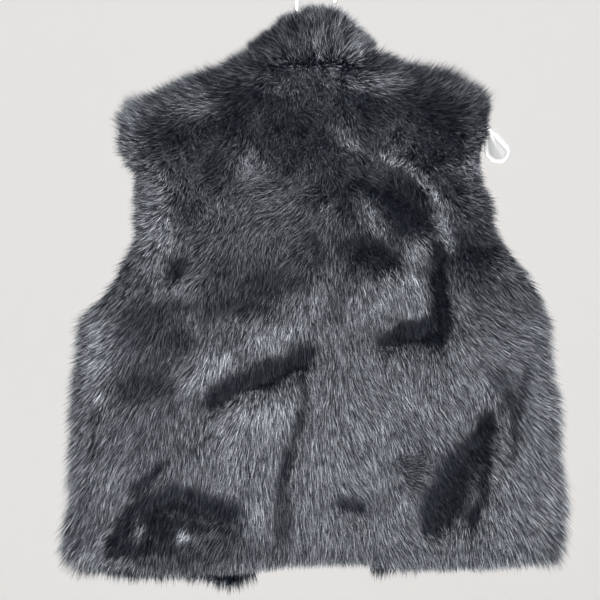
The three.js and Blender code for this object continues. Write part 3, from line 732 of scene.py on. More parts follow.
@dataclass(frozen=True)
class ModacrylicPile:
    """Long modacrylic pile, sheared and polished on its knitted ground.

    The eye gets near-black depths between the fibres, a cool grey bloom where they lie flat and turn their
    sides to the light, and single fibres that differ in tone. The depths are painted shade on each fibre's
    root share, and the bloom is its gloss and sheen with painted light from the light attribute.
    """

    root: str = "#060b14"
    tip: str = "#9da1a6"
    bloom: str = "#8fa3c6"  # tint of its gloss and sheen, which is all that its black depths show
    roughness: float = 0.48
    sheen: float = 0.25
    specular: float = 0.4
    depth_shade_share: float = 0.34  # painted shade: share of a fibre's length as dark as its root
    rarity: float = 4.4  # the higher, the fewer fibres are pale
    dullest: float = 0.22
    palest: float = 6.35
    name: str = "modacrylic_pile"

    def build(self) -> bpy.types.Material:
        """The material, which reads along, strand and light from the fibres."""
        material, tree, shader = new_material(self.name)
        along, strand, light = (
            add_node(tree, "ShaderNodeAttribute", attribute_name=name).outputs["Fac"]
            for name in ("along", "strand", "light")
        )
        # painted shade of the pile's depths: each fibre's root share keeps only its root colour
        painted_depth_shade = add_node(
            tree, "ShaderNodeMapRange", {"Value": along, "From Min": self.depth_shade_share, "From Max": 1.0},
            interpolation_type="SMOOTHSTEP",
        )
        rare = add_node(tree, "ShaderNodeMath", {0: strand, 1: self.rarity}, operation="POWER")
        tone = add_node(
            tree, "ShaderNodeMapRange", {"Value": rare, "To Min": self.dullest, "To Max": self.palest}
        )
        # painted light and shade from the light attribute, and the painted depth shade, scale each fibre's
        # tone
        for factor in (light, painted_depth_shade):
            tone = add_node(tree, "ShaderNodeMath", {0: tone, 1: factor}, operation="MULTIPLY")
        tipped = add_node(
            tree, "ShaderNodeVectorMath", {0: linear(self.tip)[:3], "Scale": tone}, operation="SCALE"
        )
        toned = add_node(tree, "ShaderNodeVectorMath", {0: tipped, 1: linear(self.root)[:3]}, operation="ADD")
        gloss = add_node(
            tree, "ShaderNodeMapRange",
            {"Value": strand, "To Min": self.roughness - 0.1, "To Max": self.roughness + 0.12},
        )
        feed(tree, shader, {
            "Base Color": toned, "Roughness": gloss,
            "Sheen Weight": self.sheen, "Sheen Tint": linear(self.bloom), "Sheen Roughness": 0.4,
            "Specular IOR Level": self.specular, "Specular Tint": linear(self.bloom),
        })
        return material


@dataclass(frozen=True)
class KnittedGround:
    """Warp-knitted polyester ground of the fur, seen on its wrong side.

    The eye gets a matt, almost black cloth with rows of small loops, which the pile hides on the right side.
    """

    colour: str = "#1c1d21"
    loop: str = "#2c2e33"
    wale: float = 2.2  # mm; a real wale is about 1.2 mm and wouldn't show
    wear: float = 14.0  # patches of wear to a metre
    sheen: float = 0.2
    name: str = "knitted_ground"

    def build(self) -> bpy.types.Material:
        """The material, with its loops drawn on object coordinates."""
        material, tree, shader = new_material(self.name)
        place = add_node(tree, "ShaderNodeTexCoord").outputs["Object"]
        scale = 1 / (self.wale * MM) / 20 * math.pi
        wales, courses = (
            add_node(
                tree, "ShaderNodeTexWave", {"Vector": place, "Scale": scale, "Distortion": 0.6},
                wave_type="BANDS", bands_direction=way,
            ).outputs["Fac"]
            for way in ("X", "Z")
        )
        loops = add_node(tree, "ShaderNodeMath", {0: wales, 1: courses}, operation="MULTIPLY")
        worn = add_node(tree, "ShaderNodeTexNoise", {"Vector": place, "Scale": self.wear, "Detail": 4.0})
        mixed = add_node(
            tree, "ShaderNodeMix", {"Factor": loops, "A": linear(self.colour), "B": linear(self.loop)},
            data_type="RGBA",
        )
        uneven = add_node(tree, "ShaderNodeMapRange", {"Value": worn, "To Min": 0.75, "To Max": 1.25})
        toned = add_node(tree, "ShaderNodeVectorMath", {0: mixed, "Scale": uneven}, operation="SCALE")
        rough = add_node(tree, "ShaderNodeMapRange", {"Value": worn, "To Min": 0.8, "To Max": 0.95})
        bump = add_node(tree, "ShaderNodeBump", {"Height": loops, "Strength": 0.5, "Distance": 0.6 * MM})
        feed(tree, shader, {
            "Base Color": toned, "Roughness": rough, "Normal": bump, "Sheen Weight": self.sheen,
        })
        return material


@dataclass(frozen=True)
class ClearStyrene:
    """Clear polystyrene, injection moulded in one shot.

    The eye gets bright, hard-edged glints along the rims, a grey line where they turn away, and a pale web.
    The grey line is a painted reflection, drawn by facing, and the web is paled by a painted glow.
    """

    tint: str = "#fdfefe"
    # painted reflection: the grey that the rims are painted where they face away
    edge: str = "#3c4046"
    painted_rim_width: float = 0.6
    clear: float = 0.62
    ior: float = 1.49
    painted_glow: float = 0.12  # painted glow: emission that pales the plastic, though it is no lamp
    flow: float = 60.0  # flow marks to a metre
    name: str = "clear_styrene"

    def build(self) -> bpy.types.Material:
        """The material: faint flow marks in its gloss, a painted reflection on its rims and a painted glow.
        """
        material, tree, shader = new_material(self.name)
        place = add_node(tree, "ShaderNodeTexCoord").outputs["Object"]
        flow = add_node(tree, "ShaderNodeTexNoise", {"Vector": place, "Scale": self.flow, "Detail": 2.0})
        rough = add_node(tree, "ShaderNodeMapRange", {"Value": flow, "To Min": 0.01, "To Max": 0.05})
        bump = add_node(tree, "ShaderNodeBump", {"Height": flow, "Strength": 0.15, "Distance": 0.4 * MM})
        # painted reflection: the rims are painted grey where they face away
        painted_rim_mask = add_node(tree, "ShaderNodeLayerWeight", {"Blend": self.painted_rim_width}).outputs["Facing"]
        colour = add_node(
            tree, "ShaderNodeMix", {"Factor": painted_rim_mask, "A": linear(self.tint), "B": linear(self.edge)},
            data_type="RGBA",
        )
        # painted glow: emission in the plastic's own tint
        feed(tree, shader, {
            "Base Color": colour, "Roughness": rough, "Normal": bump,
            "Transmission Weight": self.clear, "IOR": self.ior,
            "Emission Color": linear(self.tint), "Emission Strength": self.painted_glow,
        })
        return material


@dataclass(frozen=True)
class PileField:
    """How the fibres stand at every point of a lattice that they grow from."""

    points: Array
    lie: Array  # the way a fibre points
    side: Array  # the way its flat side faces
    reach: Array  # its length against the piece's own
    loose: Array  # how many times as far as usual single fibres stray

    def part(self, rows: slice) -> "PileField":
        """The same for some of the lattice's rows."""
        values = (self.points, self.lie, self.side, self.reach, self.loose)
        return PileField(*(value[rows] for value in values))


@dataclass(frozen=True)
class FibreTree:
    """The geometry tree that plants flat, tapered fibres on a lattice."""

    name: str = "pile_fibres"
    tuft: float = 8.0  # mm across one tuft
    gather: float = 0.03  # how far a tuft's fibres lean together
    stray: float = 0.2  # how far single fibres stray from the lie
    roll: float = 0.95  # radians either way
    spread: float = 0.3  # share of a fibre's length, either way
    widths: tuple[float, float] = (0.7, 1.3)  # against the width that is asked for

    def fibre(self) -> bpy.types.Object:
        """One fibre of unit length along +X, 1 wide at its root, with its flat side towards +Z."""
        points = np.array([(0, -0.5, 0), (0, 0.5, 0), (1, 0, 0)]) / MM
        made = mesh_object("fibre", points, [(0, 2, 1)])
        along = made.data.attributes.new("along", "FLOAT", "POINT")
        along.data.foreach_set("value", [0, 0, 1])
        return made

    def build(self, material: bpy.types.Material, fibre: bpy.types.Object) -> bpy.types.NodeTree:
        """The tree, whose inputs are the pile's density, length and width.

        Args:
            material: the fibres' finish.
            fibre: the one fibre that is planted.

        Returns:
            The geometry tree.
        """
        tree = bpy.data.node_groups.new(self.name, "GeometryNodeTree")
        face = tree.interface
        face.new_socket("Geometry", in_out="OUTPUT", socket_type="NodeSocketGeometry")
        face.new_socket("Geometry", in_out="INPUT", socket_type="NodeSocketGeometry")
        for name in ("Fibres per square metre", "Length", "Width"):
            face.new_socket(name, in_out="INPUT", socket_type="NodeSocketFloat")
        face.new_socket("Seed", in_out="INPUT", socket_type="NodeSocketInt")
        given = add_node(tree, "NodeGroupInput").outputs

        def named(name: str, kind: str) -> bpy.types.NodeSocket:
            """A value that the lattice carries."""
            made = add_node(tree, "GeometryNodeInputNamedAttribute", {"Name": name}, data_type=kind)
            return made.outputs["Attribute"]

        def chance(low: Any, high: Any, seed: int, kind: str = "FLOAT") -> bpy.types.NodeSocket:
            """A random value for each fibre."""
            made = add_node(tree, "FunctionNodeRandomValue", data_type=kind)
            numbers = [s for s in made.inputs if s.enabled and s.name in ("Min", "Max")]
            numbers[0].default_value, numbers[1].default_value = low, high
            mixed = add_node(tree, "ShaderNodeMath", {0: given["Seed"], 1: float(seed)}, operation="ADD")
            feed(tree, made, {"Seed": mixed})
            return next(s for s in made.outputs if s.enabled)

        planted = add_node(
            tree, "GeometryNodeDistributePointsOnFaces",
            {"Mesh": given["Geometry"], "Density": given["Fibres per square metre"], "Seed": given["Seed"]},
        )
        place = add_node(tree, "GeometryNodeInputPosition").outputs[0]
        tufts = add_node(
            tree, "ShaderNodeTexVoronoi", {"Vector": place, "Scale": 1 / (self.tuft * MM), "Randomness": 1.0}
        )
        towards = add_node(
            tree, "ShaderNodeVectorMath", {0: tufts.outputs["Position"], 1: place}, operation="SUBTRACT"
        )
        pull = self.gather / (self.tuft * MM / 2)
        gathered = add_node(tree, "ShaderNodeVectorMath", {0: towards, "Scale": pull}, operation="SCALE")
        straying = chance((-self.stray,) * 3, (self.stray,) * 3, 1, "FLOAT_VECTOR")
        astray = add_node(
            tree, "ShaderNodeVectorMath", {0: straying, "Scale": named("loose", "FLOAT")}, operation="SCALE"
        )
        lie = named("lie", "FLOAT_VECTOR")
        for other in (gathered, astray):
            lie = add_node(tree, "ShaderNodeVectorMath", {0: lie, 1: other}, operation="ADD")
        turned = add_node(
            tree, "FunctionNodeAlignRotationToVector", {"Vector": lie}, axis="X", pivot_axis="AUTO"
        )
        turned = add_node(
            tree, "FunctionNodeAlignRotationToVector",
            {"Rotation": turned, "Vector": named("side", "FLOAT_VECTOR")},
            axis="Z", pivot_axis="X",
        )
        rolling = chance(-self.roll, self.roll, 2)
        roll = add_node(tree, "FunctionNodeAxisAngleToRotation", {"Axis": (1, 0, 0), "Angle": rolling})
        turned = add_node(
            tree, "FunctionNodeRotateRotation", {"Rotation": turned, "Rotate By": roll},
            rotation_space="LOCAL",
        )
        long = given["Length"]
        for factor in (chance(1 - self.spread, 1 + self.spread, 3), named("reach", "FLOAT")):
            long = add_node(tree, "ShaderNodeMath", {0: long, 1: factor}, operation="MULTIPLY")
        wide = add_node(
            tree, "ShaderNodeMath", {0: given["Width"], 1: chance(*self.widths, 4)}, operation="MULTIPLY"
        )
        size = add_node(tree, "ShaderNodeCombineXYZ", {"X": long, "Y": wide, "Z": long})
        one = add_node(tree, "GeometryNodeObjectInfo", {"Object": fibre}, transform_space="ORIGINAL")
        grown = add_node(
            tree, "GeometryNodeInstanceOnPoints",
            {
                "Points": planted, "Instance": one.outputs["Geometry"],
                "Rotation": turned, "Scale": size,
            },
        )
        toned = add_node(
            tree, "GeometryNodeStoreNamedAttribute",
            {"Geometry": grown, "Name": "strand", "Value": chance(0.0, 1.0, 5)},
            data_type="FLOAT", domain="INSTANCE",
        )
        for name in ("lie", "side", "reach", "loose"):
            toned = add_node(tree, "GeometryNodeRemoveAttribute", {"Geometry": toned, "Name": name})
        real = add_node(tree, "GeometryNodeRealizeInstances", {"Geometry": toned})
        dressed = add_node(tree, "GeometryNodeSetMaterial", {"Geometry": real, "Material": material})
        add_node(tree, "NodeGroupOutput", {"Geometry": dressed})
        return tree


@dataclass
class Pile:
    """The fur itself: plants the fibres that a field asks for."""

    material: bpy.types.Material
    seen_from_to: tuple[float, float] = (0.5, 0.95)  # shares of their lengths where the eye sees most of them
    tree: bpy.types.NodeTree = field(init=False)
    fibre: bpy.types.Object = field(init=False)

    def __post_init__(self) -> None:
        """Makes the one fibre and the tree that plants it."""
        plan = FibreTree()
        self.fibre = plan.fibre()
        self.tree = plan.build(self.material, self.fibre)

    def grow(
        self, name: str, bed: PileField, flip: bool, tone: Callable[[Array], Array],
        density: float, length: float, width: float, seed: int,
    ) -> bpy.types.Object:
        """Grows one piece of fur.

        Args:
            name: the piece's name.
            bed: the lattice and how its fibres stand.
            flip: turns the lattice's faces round.
            tone: a fibre's painted light and shade, from the place that the eye sees most of, in millimetres.
            density: fibres per square metre.
            length: a fibre's length in millimetres.
            width: its width in millimetres.
            seed: picks the fibres' places.

        Returns:
            The fur as a plain mesh.
        """
        height, columns = bed.points.shape[:2]
        ground = mesh_object(name + "_bed", bed.points, grid_faces(height, columns, flip))
        for label, values in (("lie", bed.lie), ("side", bed.side)):
            stored = ground.data.attributes.new(label, "FLOAT_VECTOR", "POINT")
            stored.data.foreach_set("vector", values.reshape(-1).astype(np.float32))
        for label, values in (("reach", bed.reach), ("loose", bed.loose)):
            stored = ground.data.attributes.new(label, "FLOAT", "POINT")
            stored.data.foreach_set("value", values.reshape(-1).astype(np.float32))
        modifier = ground.modifiers.new("pile", "NODES")
        modifier.node_group = self.tree
        sizes = {
            "Fibres per square metre": density, "Length": length * MM, "Width": width * MM, "Seed": seed,
        }
        for socket in self.tree.interface.items_tree:
            if socket.in_out == "INPUT" and socket.name in sizes:
                modifier[socket.identifier] = sizes[socket.name]
        graph = bpy.context.evaluated_depsgraph_get()
        mesh = bpy.data.meshes.new_from_object(ground.evaluated_get(graph))
        mesh.name = name
        corners = np.empty(3 * len(mesh.vertices), np.float32)
        mesh.vertices.foreach_get("co", corners)
        corners = corners.reshape(-1, 3, 3).astype(float) / MM
        strand = np.empty(len(mesh.vertices), np.float32)
        mesh.attributes["strand"].data.foreach_get("value", strand)
        share = lerp(*self.seen_from_to, strand[::3, None])
        seen = lerp((corners[:, 0] + corners[:, 1]) / 2, corners[:, 2], share)
        # painted light and shade: the tone stored as light is multiplied into the fibres' colour
        stored = mesh.attributes.new("light", "FLOAT", "POINT")
        stored.data.foreach_set("value", np.repeat(tone(seen), 3).astype(np.float32))
        ground.modifiers.clear()
        bpy.data.objects.remove(ground)
        made = bpy.data.objects.new(name, mesh)
        bpy.context.scene.collection.objects.link(made)
        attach(made, BODY)
        LOG.info("%s: %d triangles", name, sum(len(p.vertices) - 2 for p in mesh.polygons))
        return made

    def finish(self) -> None:
        """Removes the one fibre that the others were made from."""
        bpy.data.objects.remove(self.fibre)


def standing(
    points: Array, ways: tuple[Array, Array], nap: Array, lean: Array, reach: Array, loose: Array,
    lowest: float = 0.34,
) -> PileField:
    """Turns a nap and a lean into the way each fibre stands.

    Args:
        points: the lattice that the fibres grow from.
        ways: the way the pile would stand unbrushed, and the cloth's own outward normals.
        nap: the way the pile is brushed, roughly along the cloth.
        lean: degrees from upright.
        reach: the fibres' length against the piece's own.
        loose: how many times as far as usual they stray.
        lowest: the least that a fibre rises from the cloth, as a share of its length.

    Returns:
        The field.
    """
    normal, outward = ways
    along = unit(nap - normal * np.sum(nap * normal, -1, keepdims=True))
    angle = np.radians(lean)[..., None]
    lie = np.cos(angle) * normal + np.sin(angle) * along
    lie = unit(lie + outward * np.maximum(0, lowest - np.sum(lie * outward, -1, keepdims=True)))
    side = np.sin(angle) * normal - np.cos(angle) * along
    return PileField(points, lie, side, reach, loose)


def upright(bed: Array, tips: Array, normal: Array) -> Array:
    """The way that the pile would stand if nothing had brushed it, from its bed towards the drawn outline."""
    return unit(unit(tips - bed) + 0.8 * normal)


def reaching(bed: Array, tips: Array, lean: Array, length: float, edge: Array) -> Array:
    """A fibre's length against the piece's own, so that its tip comes to the drawn outline.

    Args:
        bed: where the fibres root.
        tips: the drawn outline.
        lean: degrees from upright.
        length: the piece's own length in millimetres.
        edge: 1 where the fibres are seen against the light, and 0 where others are behind them.

    Returns:
        The share for each root.
    """
    height = np.linalg.norm(tips - bed, axis=-1)
    wanted = (1.05 + 0.26 * edge) * height / (length * np.cos(np.radians(lean)))
    return np.clip(wanted, 0.55, 1.12 + 0.3 * edge)


def turned_nap(nap: Array, normal: Array, degrees: Array) -> Array:
    """The nap turned about the normal."""
    angle = np.radians(degrees)[..., None]
    return nap * np.cos(angle) + np.cross(normal, nap) * np.sin(angle)


@dataclass
class Panel:
    """A back or front of the vest: its thin cloth, and the fur on it.

    Waves are given as amount, wavelength in millimetres and seed, and leans in degrees from upright.
    """

    cut: Cut
    ground: bpy.types.Material
    pile: Pile
    patches: Sequence[BrushedAndPaintedLight] = ()
    facing: int = 1  # -1 where the panel faces -Y
    cloth_share: float = 0.86  # the cloth's pile side, as a share of the wall: 2.2 mm thick
    rows: int = 190
    length: float = 21.0
    width: float = 0.82
    density: float = 2540000  # fibres per square metre
    darkest: float = 0.1
    palest: float = 2.2
    upper_part: tuple[float, float] = (-330, -200)  # heights over which the pile grows shorter and more mixed
    lying: float = 53
    lifted: float = 40  # how far a patch can raise the lean
    lean_limits: tuple[float, float] = (8, 80)
    lean_waves: tuple = ((3, 26, 25),)
    turn_waves: tuple = ((14, 62, 23), (5, 24, 24))
    upper_turn_waves: tuple = ((22, 42, 27), (20, 17, 28))
    x_waves: tuple = ((2, 34, 11), (1.4, 11, 12))
    z_waves: tuple = ((2, 34, 13), (1.4, 11, 14))
    tone_waves: tuple = ((0.06, 30, 21),)
    past_neck: tuple[float, float] = (44, 66)  # distances from the neck's middle over which its seam ends
    over_shoulder: float = 1.6  # how strongly the nap is combed outwards over the shoulder
    shoulder_lift: float = 36
    side_lift: float = 14
    seam_lift: float = 26

    def brushed(self, points: Array, normal: Array, outward: Array) -> tuple[Array, Array, Array]:
        """Nap, lean and looseness from the patches and the pile's own unevenness.

        Args:
            points: the lattice.
            normal: its outward normals.
            outward: how far the nap swings away from the vest's middle, -1 to 1 by side.

        Returns:
            Nap, lean in degrees and looseness.
        """
        x, z = self.uneven(points)
        upper = smoothstep(z, *self.upper_part)
        stand = np.zeros_like(x)
        turn = waving(points, self.turn_waves) + upper * waving(points, self.upper_turn_waves)
        for patch in self.patches:
            reach = patch.reach(x, z)
            stand = np.maximum(stand, patch.stand * reach)
            turn = turn + patch.turn * reach
        lean = np.clip(self.lying - self.lifted * stand + waving(points, self.lean_waves), *self.lean_limits)
        nap = np.stack([0.35 * outward, np.zeros_like(x), -np.ones_like(x)], -1)
        nap = unit(nap - normal * np.sum(nap * normal, -1, keepdims=True))
        return turned_nap(nap, normal, -self.facing * turn), lean, 0.75 + 0.7 * upper

    def combed(
        self, bed: Array, tips: Array, flip: bool, rise: Array, sides: tuple[Array, Array, Array], away: Array
    ) -> tuple[PileField, Array]:
        """How the panel's fibres stand, from its patches out to its edges.

        Args:
            bed: the lattice that they grow from.
            tips: the drawn outline.
            flip: turns the lattice's normals round.
            rise: 0 at the hem to 1 at the top.
            sides: the nap's swing outwards, and then how near the side and how near its edge each place is.
            away: the way that the pile is combed over the shoulder.

        Returns:
            The field, and how far its fibres are seen against the light.
        """
        swing, by_side, at_edge = sides
        outward = lattice_normals(bed, flip)
        normal = upright(bed, tips, outward)
        nap, lean, loose = self.brushed(bed, normal, swing)
        at_top = smoothstep(rise, 0.9, 1)
        past_neck = smoothstep(np.abs(bed[..., 0] - self.cut.neck_x), *self.past_neck)
        at_seam = smoothstep(rise, 0.965, 1) * (1 - past_neck)
        nap = unit(nap + self.over_shoulder * away * (at_top * past_neck)[..., None])
        lean = lean - self.shoulder_lift * at_top * past_neck - self.side_lift * by_side
        lean = np.clip(lean - self.seam_lift * at_seam, 10, 80)
        edge = self.edge_of(rise, at_edge, at_top * past_neck)
        reach = reaching(bed, tips, lean, self.length, edge)
        return standing(bed, (normal, outward), nap, lean, reach, loose), edge

    def edge_of(self, rise: Array, at_side: Array, at_shoulder: Array) -> Array:
        """How far fibres are seen against the light: most along the side seams, little round the armholes."""
        above = smoothstep(rise, 0.65, 0.73)
        low = smoothstep(rise, 0.3, 0.16)
        return np.maximum(lerp(2.0 + 0.7 * low, 0.1, above) * at_side, 1.35 * at_shoulder)

    def trimmed(self, stood: PileField, hem: Callable, below: float) -> PileField:
        """The same pile, pressed down by the hanger's end and cut off at a distance below the hem.

        Args:
            stood: how the fibres stand.
            hem: the hem's height, from X.
            below: how far below it a fibre may hang, in millimetres.

        Returns:
            The field with its fibres shortened.
        """
        down = np.maximum(-stood.lie[..., 2], 0.05)
        room = (stood.points[..., 2] - hem(stood.points[..., 0]) + below) / (self.length * down)
        pressed = 1 - 0.42 * BY_HANGER_END.reach(stood.points[..., 0], stood.points[..., 2])
        return replace(stood, reach=np.minimum(stood.reach, np.maximum(room, 0.35)) * pressed)

    def uneven(self, points: Array) -> tuple[Array, Array]:
        """X and Z of points, shifted a little so that no patch has a drawn edge."""
        return points[..., 0] + waving(points, self.x_waves), points[..., 2] + waving(points, self.z_waves)

    def tone(self, points: Array) -> Array:
        """How pale the fibres seen here are painted, with painted light and shade by height and patch."""
        x, z = self.uneven(points)
        upper = smoothstep(z, *self.upper_part)
        stops = np.log2(PAINTED_LIGHT_BY_HEIGHT(z)) + waving(points, self.tone_waves)
        stops = stops + (0.02 + 0.15 * upper) * ripple(points, 11, 22)
        for patch in self.patches:
            stops = stops + patch.light * patch.reach(x, z)
        return np.clip(2**stops, self.darkest, self.palest)

    def cloth(
        self, name: str, outer: Array, inner: Array, flip: bool, node: str, flat: tuple[float, float],
        furs: list[bpy.types.Object],
    ) -> bpy.types.Object:
        """Args:
            name: the piece's name.
            outer: its pile side.
            inner: its wrong side.
            flip: turns its faces round.
            node: the solid that it stands for.
            flat: the cut's width and length in metres; not used.
            furs: the fur on it; not used.

        Returns:
            The cloth.
        """
        made = thin_shell(name, outer, inner, flip, self.ground)
        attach(made, BODY)
        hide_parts(node)
        return made


@dataclass
class Back(Panel):
    """The back, in one piece."""

    columns: int = 180
    cloth_grid: tuple[int, int] = (72, 76)
    flat: tuple[float, float] = (0.59, 0.57)
    below_hem: float = 2.5
    upper_trim: float = 0.2  # share by which the upper part's pile is shorter
    furs: tuple[tuple[str, float], ...] = (("hem", 0.24), ("waist", 0.48), ("middle", 0.72), ("upper", 1))

    def lattice(self, inside: float, columns: int, rows: int) -> Array:
        """The back's points at one depth of its wall."""
        even = np.linspace(-1, 1, columns)
        across = np.sin(np.linspace(-math.pi / 2, math.pi / 2, columns)) * 0.6 + even * 0.4
        rise = np.linspace(0, 1, rows)
        return self.cut.back(across[None, :], rise[:, None], inside)

    def build(self) -> None:
        """Makes the cloth and the pieces of fur on it, from the hem up."""
        bed = self.lattice(self.cloth_share, self.columns, self.rows)
        shape = bed.shape[:2]
        across = np.broadcast_to(np.linspace(-1, 1, self.columns), shape)
        rise = np.broadcast_to(np.linspace(0, 1, self.rows)[:, None], shape)
        tips = self.lattice(0.0, self.columns, self.rows)
        swing, by_side, at_edge = (smoothstep(np.abs(across), start, 1) for start in (0.55, 0.8, 0.9))
        sides = (np.sign(across) * swing, by_side, at_edge)
        away = np.stack([np.tanh(bed[..., 0] / 40), np.zeros(shape), np.zeros(shape)], -1)
        stood, edge = self.combed(bed, tips, False, rise, sides, away)
        short = 1 - self.upper_trim * smoothstep(bed[..., 2], -300, -200) * (edge < 0.2)
        whole = self.trimmed(replace(stood, reach=stood.reach * short), self.cut.back_hem, self.below_hem)
        furs = []
        start = 0
        for i, (label, share) in enumerate(self.furs):
            end = min(int(self.rows * share), self.rows - 1)
            furs.append(self.pile.grow(
                f"back_fur_{label}", whole.part(slice(start, end + 1)), False, self.tone, self.density,
                self.length, self.width, 40 + i,
            ))
            start = end
        outer, inner = (self.lattice(inside, *self.cloth_grid) for inside in (self.cloth_share, 1.0))
        self.cloth("back_cloth", outer, inner, False, "back", self.flat, furs)


@dataclass
class Front(Panel):
    """One of the fronts, from its side seam to its open edge."""

    hand: Hand = Hand.LEFT
    columns: int = 90
    cloth_grid: tuple[int, int] = (44, 70)
    flat: tuple[float, float] = (0.29, 0.6)
    below_hem: float = 10
    width: float = 1.25
    density: float = 1450000

    def lattice(self, inside: float, columns: int, rows: int) -> Array:
        """The front's points at one depth of its wall."""
        to_middle = np.linspace(0, 1, columns) ** 1.25
        return self.cut.front(self.hand, to_middle[None, :], np.linspace(0, 1, rows)[:, None], inside)

    def build(self) -> None:
        """Makes the cloth and its fur."""
        sign = self.hand.value
        left = self.hand is Hand.LEFT
        name = "front_left" if left else "front_right"
        bed = self.lattice(self.cloth_share, self.columns, self.rows)
        shape = bed.shape[:2]
        to_middle = np.broadcast_to(np.linspace(0, 1, self.columns) ** 1.25, shape)
        rise = np.broadcast_to(np.linspace(0, 1, self.rows)[:, None], shape)
        tips = self.lattice(0.0, self.columns, self.rows)
        swing = sign * (1 - smoothstep(to_middle, 0, 0.4)) - 0.5 * sign * smoothstep(to_middle, 0.75, 1)
        sides = (swing, 1 - smoothstep(to_middle, 0, 0.2), 1 - smoothstep(to_middle, 0, 0.1))
        stood, _ = self.combed(bed, tips, left, rise, sides, np.array([sign, 0, 0]))
        hem = self.cut.left_front_hem if left else self.cut.right_front_hem
        fur = self.pile.grow(
            f"{name}_fur", self.trimmed(stood, hem, self.below_hem), left, self.tone, self.density,
            self.length, self.width, 50 + sign,
        )
        outer, inner = (self.lattice(inside, *self.cloth_grid) for inside in (self.cloth_share, 1.0))
        self.cloth(f"{name}_cloth", outer, inner, left, name, self.flat, [fur])


@dataclass
class Collar(Panel):
    """The stand collar: a band of doubled cloth with fur on both sides."""

    end_height: float = 50
    end_spread: float = 4
    back_lean: float = 4
    gap: float = 0.9
    half_cloth: float = 1.2
    flat: tuple[float, float] = (0.31, 0.055)
    length: float = 22.0
    density: float = 2600000
    steps: int = 41
    pile_over_top: float = 12
    painted_shade_stops: float = -1.5  # painted shade on the whole collar, in stops
    turn_waves: tuple = ((16, 34, 31), (20, 13, 32))
    lean_waves: tuple = ((7, 16, 33),)
    tone_waves: tuple = ((0.2, 28, 34), (0.3, 10, 35))
    lying: float = 58
    top: Callable = curve_of((
        (-92, -84), (-72, -72), (-53, -58), (-36, -46), (-14, -36), (14, -36), (37, -44), (50, -57),
        (64, -72), (84, -84),
    ))

    def seam(self, steps: int) -> tuple[Array, Array, Array]:
        """The seam that the collar stands on: outer rim, inner rim and how far round each place is."""
        cut = self.cut
        left, right = float(cut.left_side(1)), float(cut.right_side(1))
        ends = [(cut.neck_x + s * cut.neck_half_width - left) / (right - left) * 2 - 1 for s in (-1, 1)]
        u = np.linspace(0, 1, steps)
        rims = []
        for inside in (0.0, 1.0):
            back = cut.back(lerp(ends[0], ends[1], u), np.ones(steps), inside)
            fronts = []
            for hand in Hand:
                share = cut.neck_share(hand)
                fronts.append(cut.front(hand, lerp(share, 1, u[1::2]), np.ones(len(u[1::2])), inside))
            rims.append(np.concatenate([fronts[0][::-1], back, fronts[1]]))
        half = 0.5 + 0.5 * u[1::2]
        return rims[0], rims[1], np.concatenate([-half[::-1], u - 0.5, half])

    def tone(self, points: Array) -> Array:
        """How pale the fibres seen here are painted, with painted shade overall, light and shade by patch."""
        x, z = self.uneven(points)
        stops = self.painted_shade_stops + waving(points, self.tone_waves)
        for patch in self.patches:
            stops = stops + patch.light * patch.reach(x, z)
        return 2**stops

    def build(self) -> None:
        """Makes the doubled cloth and the fur outside and inside it."""
        outer, inner, round_ = self.seam(self.steps)
        middle = (outer + inner) / 2
        along = np.gradient(middle, axis=0)
        across = outer - inner
        lift = unit(np.cross(across, along))
        to_end = smoothstep(np.abs(round_), 0.42, 1)
        at_side = smoothstep(np.abs(round_), 0.24, 0.42)
        crest = middle + lift * self.gap
        foot = lerp(outer, inner, 0.9) - lift * 0.6
        crest[:, 0] += np.sign(round_) * self.end_spread * to_end
        crest[:, 1] += self.back_lean * (1 - to_end)
        crest[:, 2] = lerp(self.top(crest[:, 0]), outer[:, 2] + self.end_height, to_end)
        rise = np.linspace(0, 1, 22)[:, None, None]
        slope = (self.top(crest[:, 0] + 2) - self.top(crest[:, 0] - 2)) / 4 * (1 - to_end)
        upwards = unit(np.stack([-slope, np.zeros_like(slope), np.ones_like(slope)], -1))
        pile_over = self.pile_over_top * upwards
        band = lerp(foot[None], (crest - pile_over)[None], rise)
        normal = unit(np.cross(unit(along)[None], (crest - foot)[None]) * np.ones_like(band))
        normal = np.where(np.sum(normal * across[None], -1, keepdims=True) < 0, -normal, normal)
        furs = []
        for i, (label, sign) in enumerate((("outer", 1), ("inner", -1))):
            bed = band + sign * self.half_cloth * normal
            up = np.broadcast_to(pile_over[None] * np.array([1, 0, 1]), bed.shape)
            share = np.broadcast_to(rise[..., 0], bed.shape[:2])
            at_top = smoothstep(share, 0.8, 1)
            out = unit(sign * normal + np.array([0, 0, 0.9]) * at_top[..., None])
            over_seam = 1 - smoothstep(share, 0.08, 0.3)
            nap = turned_nap(up * (1 - 1.9 * over_seam)[..., None], out, waving(bed, self.turn_waves))
            lean = self.lying + waving(bed, self.lean_waves) - 10 * at_top - 16 * over_seam
            lean = lean - 120 * over_seam * (1 - over_seam)
            room = np.clip((crest[None, :, 2] - bed[..., 2]) / (0.8 * self.length), 0.5, 1)
            room = room * (1 - 0.1 * at_side[None, :])
            stood = standing(bed, (out, out), nap, lean, room, np.full(room.shape, 1.5))
            furs.append(self.pile.grow(
                f"collar_fur_{label}", stood, sign < 0, self.tone, self.density, self.length, self.width,
                60 + i,
            ))
        cloth_out = band + self.half_cloth * normal
        cloth_in = band - self.half_cloth * normal
        self.cloth("collar_cloth", cloth_out, cloth_in, False, "collar", self.flat, furs)


